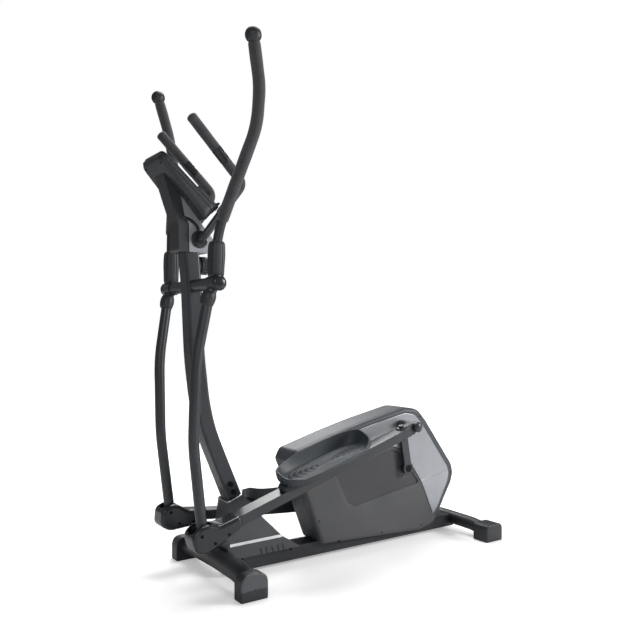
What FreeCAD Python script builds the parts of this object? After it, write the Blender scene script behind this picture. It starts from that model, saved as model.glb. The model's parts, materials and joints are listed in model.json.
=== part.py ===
import FreeCAD, Part
import math
import os

# Home elliptical trainer with the drive housing at the rear.
# Millimetres. X points rearwards from the console to the drive, -Y is the user's left,
# Z is up. The origin is on the floor, at the middle of the object's footprint.

# Overall places
front_x = -402.5              # front stabiliser centre line
rear_x = 591.5                # rear stabiliser centre line
floor_gap = 14.0              # underside of the rail above the floor

# Stabilisers and their end caps
front_tube_radius = 32.0
rear_tube_radius = 24.0
stabiliser_wall = 2.0
stabiliser_bend = 160.0
front_half_width = 247.0
rear_half_width = 246.0
front_cap_height = 77.0
rear_cap_height = 62.0
front_cap_depth = 90.0
rear_cap_depth = 82.0
front_cap_length = 42.0
rear_cap_length = 66.0
front_cap_lead = 5.0          # the front caps stand this far ahead of their tube
cap_end_wall = 14.0
front_tube_rise = 16.0        # how far the arched tube's middle stands above its ends
rear_tube_rise = 12.0

# Main rail
rail_width = 72.0
rail_height = 44.0
rail_wall = 2.5
rail_top = floor_gap + rail_height

# Mast
mast_width = 60.0
mast_depth = 48.0
mast_corner = 8.0
mast_wall = 2.5
sleeve_gap = 0.2              # between the post and the mast that slides over it
post_insert = 170.0
mast_bolt_steps = (112.0, 140.0)   # from the mast's foot, along it
mast_bend_radius = 1200.0
mast_foot = (-320.0, 160.0)
mast_knee = (-461.0, 492.0)
mast_middle = (-485.0, 690.0)
mast_pivot_height = 904.0
mast_top = (-513.0, 1090.0)

# Mast base covers
base_cover_half = 52.0
collar_stand = 5.0            # the covers' collar stands this far out from the mast's sides
base_cover_top = mast_width / 2 + collar_stand
base_cover_wall = 3.0
trim_thickness = 2.0

# Swing arms
pivot_x = -495.5
pivot_z = mast_pivot_height
swing_radius = 730.0          # pivot to lower joint
arm_plane = 159.0             # distance of the pivot sleeve's centre from the middle plane
joint_plane = 140.0           # the same at the lower joint
arm_tube_radius = 16.0
arm_tube_wall = 2.0
axle_radius = 8.0
running_gap = 0.05            # radial, between a shaft and its hole
stub_radius = 19.0            # axle tubes welded to the mast
pivot_sleeve_radius = 22.0
pivot_sleeve_length = 60.0
washer_gap = 1.0
joint_sleeve_radius = 18.0
joint_pin_radius = 6.0
handle_tube_radius = 14.0
handle_tube_wall = 1.8
handle_foam_radius = 17.5
handle_end_radius = 23.5
socket_top = 100.0            # top of the arm's stub above the pivot
clamp_top = 122.0             # top of the moulded halves round that stub
clamp_wall = 2.5
handle_top = 676.0
grip_start = 176.0           # foam sleeve's lower end above the pivot

# Crank and pedal arms
crank_x = 322.2
crank_z = 269.0
crank_radius = 162.7
crank_angle = -9.7            # of the left crank from straight up, positive rearwards
crank_inner = 68.0
crank_thickness = 12.0
crank_width = 30.0
crank_hub_radius = 22.0
crank_axle_radius = 10.0
crank_shell_half = 30.0       # half length of the shell round the axle's bearings
crank_shell_radius = 24.0
bearing_radius = 20.0
bearing_width = 10.0
pedal_arm_length = 854.0      # lower joint to crank pin
link_width = 54.0
link_height = 30.0
link_wall = 2.0
hinge_offset = 56.0           # vertical hinge bolt ahead of the crank pin
hinge_along = pedal_arm_length - hinge_offset
hinge_bolt_radius = 5.0
pin_sleeve_radius = 18.0
pin_sleeve_end = 164.0
crank_gap = 2.0               # pin sleeve to crank arm
fork_plate = 4.0
fork_inset = 3.0              # the fork plates' inner faces stand in from the arm's sides
joint_sleeve_length = link_width - 2 * (fork_inset + washer_gap)
joint_cover_side = 8.0        # the joint cover's sides stand out from the arm
joint_cover_wall = 3.0

# Pedals
pedal_start = 268.0
pedal_length = 368.0
pedal_inner = 86.0
pedal_outer = 234.0
pedal_lift = 18.0             # underside of the tray above the arm
pedal_floor = 8.0
pedal_wall = 5.0
pedal_rim = 50.0              # height of the rim at the heel and inner side
pedal_toe_rim = 42.0
pedal_low_rim = 12.0          # height of the rim on the outer side

# Drive housing
housing_half_width = 62.0
band_half_width = 42.0
housing_wall = 3.0
side_step = 3.0               # the side covers stand in from the band
shoulder = 12.0               # rounding between side and top
recess_depth = 4.0
panel_thickness = 2.0
axle_hole_radius = 16.0

# Drive
flywheel_x = 75.0
flywheel_z = 232.0
flywheel_radius = 118.0
flywheel_half_width = 18.0
flywheel_shaft_radius = 7.5
pulley_y = 38.0
pulley_half_width = 6.0
crank_pulley_radius = 120.0
small_pulley_radius = 25.0
belt_thickness = 3.0
belt_gap = 0.35
idler_radius = 20.0
brake_gap = 3.0
brake_thickness = 8.0
brake_pin_radius = 4.0
magnet_thickness = 5.0

# Fixed handlebar
bar_radius = 12.5
bar_wall = 2.0
grip_radius = 17.5
bar_half_span = 105.0
bar_bend_radius = 30.0
bar_tip_span = 116.0
bar_centre = (-484.0, 1046.0)
bar_bend = (-374.0, 1218.0)
bar_tip = (-551.0, 1393.0)
grip_length = 118.0
sensor_length = 46.0

# Handlebar covers and console neck
cover_stand = 5.0             # the covers stand this far out from the mast's sides
cover_half_width = mast_width / 2 + cover_stand
cover_wall = 2.5
shroud_half_width = cover_half_width - 2

# Console
console_x = -618.7
console_z = 1290.0
console_tilt = 41.7
console_length = 233.0
console_half_width = 80.0
console_front_depth = 14.0
console_back_top = 22.0
console_back_low = 52.0
console_wall = 3.0
console_corner = 24.0
button_radius = 7.0
button_gap = 0.4
window = (22.0, 104.0, 116.0) # start, end and width of the display window
button_row = 122.0            # along the console from its far edge
button_spread = 38.0
ledge_start = 144.0
ledge_height = 9.0

# Tension knob and cable
knob_z = 969.0
knob_radius = 28.0
knob_depth = 24.0
cable_radius = 2.5
cable_offset = 12.5
cable_exit_x = -20.0          # where the cable leaves the rail, under the flywheel


def vec(x, y, z):
    return FreeCAD.Vector(x, y, z)


across = vec(0, 1, 0)


def box(x0, x1, y0, y1, z0, z1):
    return Part.makeBox(x1 - x0, y1 - y0, z1 - z0, vec(x0, y0, z0))


def rod(start, end, radius):
    """Cylinder between two points."""
    return Part.makeCylinder(radius, (end - start).Length, start, end - start)


def cross_rod(x, z, radius, y0, y1):
    """Cylinder along Y."""
    return Part.makeCylinder(radius, y1 - y0, vec(x, y0, z), across)


def cross_ring(x, z, outer, inner, y0, y1):
    return cross_rod(x, z, outer, y0, y1).cut(cross_rod(x, z, inner, y0 - 1, y1 + 1))


def bent_path(points, radius):
    """Straight runs through the points, joined by tangent arcs of at most this radius."""
    edges = []
    start = points[0]
    for before, corner, after in zip(points, points[1:], points[2:]):
        incoming = (corner - before).normalize()
        outgoing = (after - corner).normalize()
        half_turn = incoming.getAngle(outgoing) / 2
        shorter = min((corner - before).Length, (after - corner).Length)
        setback = min(radius * math.tan(half_turn), 0.45 * shorter)
        arc_radius = setback / math.tan(half_turn)
        inward = (outgoing - incoming).normalize()
        arc_start = corner - incoming * setback
        arc_end = corner + outgoing * setback
        arc_middle = corner + inward * (arc_radius / math.cos(half_turn) - arc_radius)
        edges.append(Part.LineSegment(start, arc_start).toShape())
        edges.append(Part.Arc(arc_start, arc_middle, arc_end).toShape())
        start = arc_end
    edges.append(Part.LineSegment(start, points[-1]).toShape())
    return Part.Wire(edges)


def sweep_round(points, bend, radius):
    """Solid round bar along a bent path."""
    circle = Part.Wire(Part.makeCircle(radius, points[0], points[1] - points[0]))
    return bent_path(points, bend).makePipeShell([circle], True, False)


def sweep_tube(points, bend, outer, wall):
    return sweep_round(points, bend, outer).cut(sweep_round(points, bend, outer - wall))


def outline(points):
    """Closed outline in the XZ plane from (x, z, corner radius) points."""
    edges = []
    count = len(points)
    ends = []
    for i in range(count):
        corner = vec(points[i][0], 0, points[i][1])
        before = vec(points[i - 1][0], 0, points[i - 1][1])
        after = vec(points[(i + 1) % count][0], 0, points[(i + 1) % count][1])
        incoming = (corner - before).normalize()
        outgoing = (after - corner).normalize()
        half_turn = incoming.getAngle(outgoing) / 2
        shorter = min((corner - before).Length, (after - corner).Length)
        setback = min(points[i][2] * math.tan(half_turn), 0.49 * shorter)
        arc_radius = setback / math.tan(half_turn)
        inward = (outgoing - incoming).normalize()
        middle = corner + inward * (arc_radius / math.cos(half_turn) - arc_radius)
        ends.append((corner - incoming * setback, middle, corner + outgoing * setback))
    for i in range(count):
        start, middle, end = ends[i]
        edges.append(Part.Arc(start, middle, end).toShape())
        edges.append(Part.LineSegment(end, ends[(i + 1) % count][0]).toShape())
    return Part.Wire(edges)


def prism(wire, y0, y1):
    """Extrude an XZ outline between two distances from the middle plane."""
    face = Part.Face(wire)
    face.translate(vec(0, y0, 0))
    return face.extrude(vec(0, y1 - y0, 0))


def inset(wire, distance):
    return wire.makeOffset2D(-distance)


def rounded_rectangle(depth, width, corner):
    """Closed outline in the XY plane, centred on the origin."""
    points = [(-depth / 2, -width / 2), (depth / 2, -width / 2), (depth / 2, width / 2),
              (-depth / 2, width / 2)]
    flat = outline([(x, y, corner) for x, y in points])
    flat.rotate(vec(0, 0, 0), vec(1, 0, 0), -90)
    return flat


def sweep_section(points, bend, depth, width, corner):
    """Solid of rounded rectangular section along a bent path in the middle plane."""
    direction = points[1] - points[0]
    section = rounded_rectangle(depth, width, corner)
    section.rotate(vec(0, 0, 0), across, math.degrees(math.atan2(direction.x, direction.z)))
    section.translate(points[0])
    return bent_path(points, bend).makePipeShell([section], True, False)


def plate_block(length, width, corner, z0, z1):
    """Block from x = 0 to length, centred on y = 0, with rounded vertical corners."""
    section = rounded_rectangle(length, width, corner)
    section.translate(vec(length / 2, 0, z0))
    return Part.Face(section).extrude(vec(0, 0, z1 - z0))


def mirrored(shape):
    return shape.mirror(vec(0, 0, 0), across)


def tilted(shape, x, z, rise):
    """Turn a shape about Y so that +X rises by this angle, then move its origin."""
    placed = shape.copy()
    placed.rotate(vec(0, 0, 0), across, -rise)
    placed.translate(vec(x, 0, z))
    return placed


def group(*shapes):
    return Part.makeCompound(list(shapes))


# Rest pose of the two linkages

def crank_pin(side):
    """Pin centre of the left (side 1) or right (side -1) crank."""
    angle = math.radians(crank_angle)
    return (crank_x + side * crank_radius * math.sin(angle),
            crank_z + side * crank_radius * math.cos(angle))


def lower_joint(side):
    """Where the swing arm meets the pedal arm, from the lengths of both."""
    pin_x, pin_z = crank_pin(side)
    run = pin_x - pivot_x
    fall = pin_z - pivot_z
    distance = math.hypot(run, fall)
    along = (swing_radius ** 2 - pedal_arm_length ** 2 + distance ** 2) / (2 * distance)
    aside = math.sqrt(swing_radius ** 2 - along ** 2)
    return (pivot_x + (along * run + aside * fall) / distance,
            pivot_z + (along * fall - aside * run) / distance)


def swing_rise(side):
    """Angle that turns the hanging arm, drawn with its joint straight below, to its pose."""
    joint_x, joint_z = lower_joint(side)
    return math.degrees(math.atan2(joint_x - pivot_x, pivot_z - joint_z))


def link_rise(side):
    joint_x, joint_z = lower_joint(side)
    pin_x, pin_z = crank_pin(side)
    return math.degrees(math.atan2(pin_z - joint_z, pin_x - joint_x))


def pose_swing(shape, side):
    placed = tilted(shape, pivot_x, pivot_z, swing_rise(side))
    return placed if side == 1 else mirrored(placed)


def pose_link(shape, side):
    joint_x, joint_z = lower_joint(side)
    placed = tilted(shape, joint_x, joint_z, link_rise(side))
    return placed if side == 1 else mirrored(placed)


# Base frame

def stabiliser_points(x, half_width, end_z, rise):
    end_y = half_width - cap_end_wall
    quarter_y = end_y * 0.55
    heights = [(-end_y, 0), (-quarter_y, 0.82), (0, 1), (quarter_y, 0.82), (end_y, 0)]
    return [vec(x, y, end_z + rise * share) for y, share in heights]


def front_points():
    return stabiliser_points(front_x, front_half_width, front_cap_height / 2 + 3,
                             front_tube_rise)


def rear_points():
    return stabiliser_points(rear_x, rear_half_width, rear_cap_height / 2 + 1, rear_tube_rise)


def make_front_stabiliser():
    return sweep_tube(front_points(), stabiliser_bend, front_tube_radius, stabiliser_wall)


def make_rear_stabiliser():
    return sweep_tube(rear_points(), stabiliser_bend, rear_tube_radius, stabiliser_wall)


def end_cap(x, half_width, height, depth, shoulder, length, tube):
    """Cap over one tube end with a flat sole and an arched top."""
    half = depth / 2
    shape = prism(outline([(x - half, 0, 4), (x + half, 0, 4), (x + half, height, shoulder),
                           (x - half, height, shoulder)]), -half_width, -half_width + length)
    return shape.cut(tube)


def make_foot_caps():
    front_solid = sweep_round(front_points(), stabiliser_bend, front_tube_radius)
    rear_solid = sweep_round(rear_points(), stabiliser_bend, rear_tube_radius)
    front = end_cap(front_x - front_cap_lead, front_half_width, front_cap_height,
                    front_cap_depth, 38, front_cap_length, front_solid)
    rear = end_cap(rear_x, rear_half_width, rear_cap_height, rear_cap_depth, 22,
                   rear_cap_length, rear_solid)
    return group(front, mirrored(front), rear, mirrored(rear))


def make_main_rail():
    half = rail_width / 2
    start = front_x + front_tube_radius - 5
    outer = box(start, rear_x, -half, half, floor_gap, rail_top)
    inner = box(start - 1, rear_x, -half + rail_wall, half - rail_wall, floor_gap + rail_wall,
                rail_top - rail_wall)
    rail = outer.cut(inner)
    rail = rail.cut(sweep_round(front_points(), stabiliser_bend, front_tube_radius))
    rail = rail.cut(sweep_round(rear_points(), stabiliser_bend, rear_tube_radius))
    rail = rail.cut(cable_hole(post_base() - 12, post_base() + 26))
    rail = rail.cut(cable_hole(cable_exit_x - 26, cable_exit_x + 8))
    return keep_largest(rail)


def keep_largest(shape):
    return max(shape.Solids, key=lambda solid: solid.Volume)


def mast_points():
    return [vec(x, 0, z) for x, z in
            (mast_foot, mast_knee, mast_middle, (pivot_x, pivot_z), mast_top)]


def mast_lean():
    """Unit vector up the mast's straight foot."""
    return (vec(mast_knee[0], 0, mast_knee[1]) - vec(mast_foot[0], 0, mast_foot[1])).normalize()


def post_base():
    """Where the post's centre line meets the rail's top."""
    lean = mast_lean()
    return mast_foot[0] - lean.x / lean.z * (mast_foot[1] - rail_top)


def make_mast_post():
    lean = mast_lean()
    foot = vec(mast_foot[0], 0, mast_foot[1])
    low = foot - lean * 150
    high = foot + lean * post_insert
    depth = mast_depth - 2 * (mast_wall + sleeve_gap)
    width = mast_width - 2 * (mast_wall + sleeve_gap)
    corner = mast_corner - mast_wall - sleeve_gap

    def bar(shrink):
        section = rounded_rectangle(depth - 2 * shrink, width - 2 * shrink, corner - shrink)
        section.rotate(vec(0, 0, 0), across, math.degrees(math.atan2(lean.x, lean.z)))
        section.translate(low)
        return Part.Face(section).extrude(high - low)

    post = bar(0).cut(bar(mast_wall))
    post = post.cut(box(-600, 100, -100, 100, -100, rail_top))
    for bolt in mast_bolt_rods(running_gap):
        post = post.cut(bolt)
    return post


def mast_bolt_rods(gap):
    """Bolts across the mast and post where they overlap."""
    lean = mast_lean()
    foot = vec(mast_foot[0], 0, mast_foot[1])
    rods = []
    for distance in mast_bolt_steps:
        centre = foot + lean * distance
        reach = mast_width / 2 + 1
        rods.append(cross_rod(centre.x, centre.z, 4 + gap, -reach, reach))
    return rods


def make_mast():
    points = mast_points()
    outer = sweep_section(points, mast_bend_radius, mast_depth, mast_width, mast_corner)
    inner = sweep_section(points, mast_bend_radius, mast_depth - 2 * mast_wall,
                          mast_width - 2 * mast_wall, mast_corner - mast_wall)
    stub_end = arm_plane - pivot_sleeve_length / 2 - washer_gap
    stub = cross_rod(pivot_x, pivot_z, stub_radius, -stub_end, stub_end)
    mast = outer.fuse([stub, knob_seat()]).cut(inner)
    mast = mast.cut(cross_rod(pivot_x, pivot_z, axle_radius, -stub_end - 1, stub_end + 1))
    for bolt in mast_bolt_rods(running_gap):
        mast = mast.cut(bolt)
    mast = mast.cut(rod(vec(-460, 0, knob_z), cable_corner(), cable_radius + 1.5))
    reach = mast_width / 2 + 1
    mast = mast.cut(cross_rod(bar_centre[0], bar_centre[1], bar_radius + 0.2, -reach, reach))
    return mast


def make_swing_axle():
    """Axle rod with a washer and nut beyond each arm's sleeve."""
    end = arm_plane + pivot_sleeve_length / 2
    rods = cross_rod(pivot_x, pivot_z, axle_radius, -end - 4, end + 4)
    for y0, y1 in ((-end - 4, -end - washer_gap), (end + washer_gap, end + 4)):
        rods = rods.fuse(cross_rod(pivot_x, pivot_z, 14, y0, y1))
    return rods


def make_frame_bolts():
    """Cross bolts at the mast joint, with their heads and nuts."""
    shapes = []
    reach = mast_width / 2
    for rod_shape in mast_bolt_rods(0):
        centre = rod_shape.BoundBox.Center
        head = cross_rod(centre.x, centre.z, 8, -reach - 6, -reach)
        nut = cross_rod(centre.x, centre.z, 7.5, reach, reach + 7)
        shapes.append(rod_shape.fuse(head).fuse(nut))
    return group(*shapes)


# Mast base covers

def base_outline(grow):
    """Wedge that wraps the foot of the mast."""
    return outline([(-394 - grow, 58, 8), (-392 - grow, 118, 24), (-383 - grow, 236, 6),
                    (-333 + grow, 252 + grow, 6), (-266 + grow, 172, 30), (-200 + grow, 106, 30),
                    (-128 + grow, 60, 3), (-134, 59, 1)])


def base_taper(thinner):
    """Half section of the cover: upright skirts below sides that lean in to the collar."""
    face = Part.Face(Part.makePolygon([
        vec(-450, -base_cover_half + thinner, 30), vec(-450, -base_cover_half + thinner, 114),
        vec(-450, -base_cover_top + thinner, 256), vec(-450, 2, 256), vec(-450, 2, 30),
        vec(-450, -base_cover_half + thinner, 30)]))
    return face.extrude(vec(400, 0, 0))


def make_base_cover_left():
    outer = prism(base_outline(0), -base_cover_half, -0.2).common(base_taper(0))
    wall = base_cover_wall
    inner = prism(inset(base_outline(0), wall), -base_cover_half + wall, 1)
    inner = inner.common(base_taper(wall))
    open_sole = box(-388, -150, -base_cover_half + wall, 1, rail_top - 5, rail_top + 6)
    shell = outer.cut(inner).cut(open_sole).cut(mast_space(0.5))
    shell = shell.cut(sweep_round(front_points(), stabiliser_bend, front_tube_radius + 0.5))
    return keep_largest(shell)


def make_base_trims():
    """Bright strip along each base cover."""
    strip = prism(outline([(-388, 109, 2), (-206, 111, 2), (-197, 102, 1), (-388, 100, 2)]),
                  -base_cover_half - trim_thickness, -base_cover_half)
    return group(strip, mirrored(strip))


# Swing arms, drawn with the pivot at the origin and the lower joint straight below it

def arm_points():
    return [vec(0, -arm_plane, 0), vec(-14, -arm_plane + 6, -42),
            vec(-42, -arm_plane + 14, -225), vec(-38, -joint_plane + 3, -465),
            vec(0, -joint_plane, -swing_radius)]


def handle_points():
    return [vec(0, -arm_plane, pivot_sleeve_radius + 3), vec(2, -168, 151), vec(56, -282, 443),
            vec(47, -306, 547), vec(13, -322, handle_top)]


def sleeve(x, z, radius, bore, plane, length):
    return cross_ring(x, z, radius, bore, -plane - length / 2, -plane + length / 2)


def make_swing_tube():
    """Arm tube with its pivot sleeve, lower joint sleeve and the stub for the handlebar."""
    tube = sweep_tube(arm_points(), 600, arm_tube_radius, arm_tube_wall)
    stub = sweep_round(handle_points()[:2], 250, arm_tube_radius)
    stub = stub.common(box(-60, 60, -250, -100, 0, socket_top))
    hollow = sweep_round(handle_points()[:2], 250, handle_tube_radius)
    stub = stub.cut(hollow)
    upper = cross_rod(0, 0, pivot_sleeve_radius, -arm_plane - pivot_sleeve_length / 2,
                      -arm_plane + pivot_sleeve_length / 2)
    lower = cross_rod(0, -swing_radius, joint_sleeve_radius,
                      -joint_plane - joint_sleeve_length / 2,
                      -joint_plane + joint_sleeve_length / 2)
    arm = tube.fuse([upper, stub, lower])
    arm = arm.cut(cross_rod(0, 0, axle_radius + running_gap, -250, -50))
    arm = arm.cut(cross_rod(0, -swing_radius, joint_pin_radius + running_gap, -250, -50))
    return keep_largest(arm)


def make_handlebar():
    return sweep_tube(handle_points(), 300, handle_tube_radius, handle_tube_wall)


def make_handle_grip():
    """Foam sleeve over the upper half of the handlebar."""
    outer = sweep_round(handle_points(), 300, handle_foam_radius)
    core = sweep_round(handle_points(), 300, handle_tube_radius)
    span = box(-100, 200, -400, -100, grip_start, handle_top - 8)
    return keep_largest(outer.cut(core).common(span))


def make_handle_end():
    """Ball cap on the handlebar's top."""
    ball = Part.makeSphere(handle_end_radius, vec(13, -322, handle_top))
    below = sweep_round(handle_points(), 300, handle_foam_radius + 0.5)
    below = below.common(box(-100, 200, -400, -100, grip_start, handle_top - 8))
    core = sweep_round(handle_points(), 300, handle_tube_radius)
    return keep_largest(ball.cut(below).cut(core))


def make_arm_cover():
    """Two moulded halves that clamp round the handlebar joint, and the pivot's domed cap."""
    half = arm_tube_radius + 3
    top = clamp_top
    body = outline([(-half, 26, 6), (half, 26, 6), (half + 5, 44, 16), (half + 6, top - 26, 18),
                    (half, top, 8), (4 - half, top, 8), (-half, top - 22, 12)])
    near = -arm_plane - half - 6
    far = -arm_plane + half - 2
    block = prism(body, near, far)
    block = block.cut(sweep_round(handle_points(), 300, arm_tube_radius + 0.1))
    inner = prism(inset(body, clamp_wall), near + clamp_wall, far - clamp_wall)
    block = block.cut(inner)
    rear = block.common(box(4.2, 60, -260, -100, 0, 200))
    front = block.common(box(-60, 3.8, -260, -100, 0, 200))
    end = -arm_plane - pivot_sleeve_length / 2
    dome = Part.makeSphere(30, vec(0, end + 16, 0))
    dome = dome.common(cross_rod(0, 0, pivot_sleeve_radius - 1, end - 30, end))
    dome = dome.cut(cross_rod(0, 0, 15, end - 4.5, end + 1))
    return group(front, rear, dome)


# Pedal arms, drawn with the lower joint at the origin and the crank pin along +X

def make_link_arm():
    """Rectangular tube with the front fork plates and their pin."""
    half = link_width / 2
    high = link_height / 2
    outer = box(46, hinge_along + 14, -joint_plane - half, -joint_plane + half, -high, high)
    inner = box(44, hinge_along + 16, -joint_plane - half + link_wall, -joint_plane + half - link_wall,
                -high + link_wall, high - link_wall)
    arm = outer.cut(inner)
    gap = joint_sleeve_length / 2 + washer_gap
    for sign in (-1, 1):
        near = -joint_plane + sign * gap
        far = -joint_plane + sign * (gap + fork_plate)
        plate = prism(outline([(-20, -17, 16), (60, -high, 1), (90, -high, 1), (90, high, 1),
                               (60, high, 1), (-20, 17, 16)]), min(near, far), max(near, far))
        arm = arm.fuse(plate)
    reach = gap + fork_plate
    pin = cross_rod(0, 0, joint_pin_radius, -joint_plane - reach - 3, -joint_plane + reach + 3)
    arm = arm.fuse(pin)
    arm = arm.cut(rod(vec(hinge_along, -joint_plane, -60), vec(hinge_along, -joint_plane, 60),
                      hinge_bolt_radius))
    return arm.removeSplitter()


def make_joint_cover():
    """Two moulded shells over the lower joint, split along the arm's middle plane."""
    half = link_width / 2 + joint_cover_side
    wall = joint_cover_wall
    shape = outline([(-43, -26, 26), (-10, -42, 40), (52, -33, 50), (116, -18, 7), (116, 17.5, 7),
                     (48, 20, 40), (14, 38, 30), (-12, 41, 30), (-43, 26, 26)])
    outer = prism(shape, -joint_plane - half, -joint_plane + half)
    inner = prism(inset(shape, wall), -joint_plane - half + wall, -joint_plane + half - wall)
    high = link_height / 2
    arm_space = box(40, 300, -joint_plane - link_width / 2 - 0.2,
                    -joint_plane + link_width / 2 + 0.2, -high - 0.2, high + 0.2)
    slot = arm_tube_radius + 5
    fan = prism(outline([(-90, 90, 1), (-30, 0, 12), (34, 0, 12), (62, 90, 1)]),
                -joint_plane - slot, -joint_plane + slot)
    shell = outer.cut(inner).cut(arm_space).cut(fan)
    near = shell.common(box(-200, 300, -joint_plane - 100, -joint_plane - 0.1, -200, 200))
    far = shell.common(box(-200, 300, -joint_plane + 0.1, -joint_plane + 100, -200, 200))
    return group(keep_largest(near), keep_largest(far))


def make_pedal():
    """Foot tray with a high rim at the toe, heel and inner side, on a hollow mount."""
    base = link_height / 2 + pedal_lift
    width = pedal_outer - pedal_inner
    corner = width / 2 - 8
    block = plate_block(pedal_length, width, corner, base, base + pedal_rim)
    pocket = plate_block(pedal_length - 2 * pedal_wall, width - 2 * pedal_wall,
                         corner - pedal_wall, base + pedal_floor, base + pedal_rim + 10)
    pocket.translate(vec(pedal_wall, 0, 0))
    tray = block.cut(pocket)
    middle = pedal_length / 2
    low = base + pedal_low_rim
    high = base + pedal_rim
    toe = base + pedal_toe_rim
    dip = outline([(24, high + 20, 1), (50, low + 4, 40), (middle, low, 200),
                   (pedal_length - 66, low + 4, 40), (pedal_length - 36, high + 20, 1)])
    tray = tray.cut(prism(dip, -width / 2 - 5, -width / 2 + 56))
    slope = outline([(-20, toe - 4, 1), (130, high + 1, 1), (130, high + 30, 1),
                     (-20, high + 30, 1)])
    tray = tray.cut(prism(slope, -width, width))
    tray.translate(vec(pedal_start, -(pedal_inner + pedal_outer) / 2, 0))
    half = link_width / 2 - 3
    start = pedal_start + 54
    end = pedal_start + pedal_length - 66
    mount = box(start, end, -joint_plane - half, -joint_plane + half, link_height / 2, base + 1)
    hollow = box(start + pedal_wall, end - pedal_wall, -joint_plane - half + pedal_wall,
                 -joint_plane + half - pedal_wall, link_height / 2 - 1, base - 2)
    return keep_largest(tray.fuse(mount.cut(hollow)))


def make_rear_hinge():
    """Hinge bracket round the arm's end, its bolt, and the sleeve on the crank pin."""
    high = link_height / 2
    side = 15
    shapes = []
    bracket = box(hinge_along - 16, pedal_arm_length - 12, -joint_plane - side, -joint_plane + side,
                  -high - 4.2, high + 4.2)
    opening = box(hinge_along - 20, hinge_along + 18, -joint_plane - 60, -joint_plane + 60, -high - 0.2,
                  high + 0.2)
    inner_end = -(crank_inner + crank_thickness + crank_gap)
    barrel = cross_rod(pedal_arm_length, 0, pin_sleeve_radius, -pin_sleeve_end, inner_end)
    bracket = bracket.fuse(barrel).cut(opening)
    bore = cross_rod(pedal_arm_length, 0, 9, -pin_sleeve_end + 8, inner_end + 1)
    bolt_space = rod(vec(hinge_along, -joint_plane, -60), vec(hinge_along, -joint_plane, 60),
                     hinge_bolt_radius)
    shapes.append(keep_largest(bracket.cut(bore).cut(bolt_space)))

    def upright(low, top, radius):
        return rod(vec(hinge_along, -joint_plane, low), vec(hinge_along, -joint_plane, top),
                   radius)

    bolt = upright(-high - 12, high + 10, hinge_bolt_radius)
    head = upright(high + 4.2, high + 12, hinge_bolt_radius + 4)
    nut = upright(-high - 12, -high - 4.2, hinge_bolt_radius + 3.5)
    shapes.append(bolt.fuse([head, nut]))
    shapes.append(cross_rod(pedal_arm_length, 0, 8.9, -pin_sleeve_end + 8.5, inner_end))
    cap = Part.makeSphere(26, vec(pedal_arm_length, -pin_sleeve_end + 19, 0))
    cap = cap.common(cross_rod(pedal_arm_length, 0, 17, -pin_sleeve_end - 30, -pin_sleeve_end))
    shapes.append(cap)
    return group(*shapes)


# Crank

def make_crank(side):
    """Flat crank arm with round ends."""
    pin_x, pin_z = crank_pin(side)
    y0 = -crank_inner - crank_thickness
    y1 = -crank_inner
    hub = cross_rod(crank_x, crank_z, crank_hub_radius, y0, y1)
    end = cross_rod(pin_x, pin_z, crank_width / 2 + 1, y0, y1)
    run = pin_x - crank_x
    rise = pin_z - crank_z
    wide = crank_width / 2 / crank_radius
    bar = prism(outline([(crank_x - rise * wide, crank_z + run * wide, 1),
                         (crank_x + rise * wide, crank_z - run * wide, 1),
                         (pin_x + rise * wide, pin_z - run * wide, 1),
                         (pin_x - rise * wide, pin_z + run * wide, 1)]), y0, y1)
    crank = bar.fuse([hub, end]).removeSplitter()
    crank = crank.cut(cross_rod(crank_x, crank_z, crank_axle_radius, y0 - 1, y1 + 1))
    crank = crank.fuse(cross_rod(crank_x, crank_z, 14, y1, y1 + 4).cut(
        cross_rod(crank_x, crank_z, crank_axle_radius, y1 - 1, y1 + 5)))
    return crank if side == 1 else mirrored(crank)


def make_crank_axle():
    end = crank_inner + crank_thickness
    axle = cross_rod(crank_x, crank_z, crank_axle_radius, -end, end)
    cap = crank_gap - 0.5
    for y0, y1 in ((-end - cap, -end), (end, end + cap)):
        axle = axle.fuse(cross_rod(crank_x, crank_z, 13, y0, y1))
    return axle


def make_crank_pulley():
    """Spoked belt wheel on the crank axle."""
    y0 = pulley_y - pulley_half_width
    y1 = pulley_y + pulley_half_width
    wheel = cross_rod(crank_x, crank_z, crank_pulley_radius, y0, y1)
    for y in (y0 - 1, y1 - 4):
        ring = cross_ring(crank_x, crank_z, crank_pulley_radius - 10, 26, y, y + 5)
        wheel = wheel.cut(ring)
    for i in range(6):
        angle = math.radians(60 * i)
        x = crank_x + 70 * math.cos(angle)
        z = crank_z + 70 * math.sin(angle)
        wheel = wheel.cut(cross_rod(x, z, 20, y0 - 1, y1 + 1))
    return wheel.cut(cross_rod(crank_x, crank_z, crank_axle_radius, y0 - 1, y1 + 1))


def make_crank_bearings():
    """Two ball bearings, drawn as rings, in the ends of the crank shell."""
    rings = []
    half = crank_shell_half
    for y0, y1 in ((-half, -half + bearing_width), (half - bearing_width, half)):
        rings.append(cross_ring(crank_x, crank_z, bearing_radius,
                                crank_axle_radius + running_gap, y0, y1))
    return group(*rings)


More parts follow.
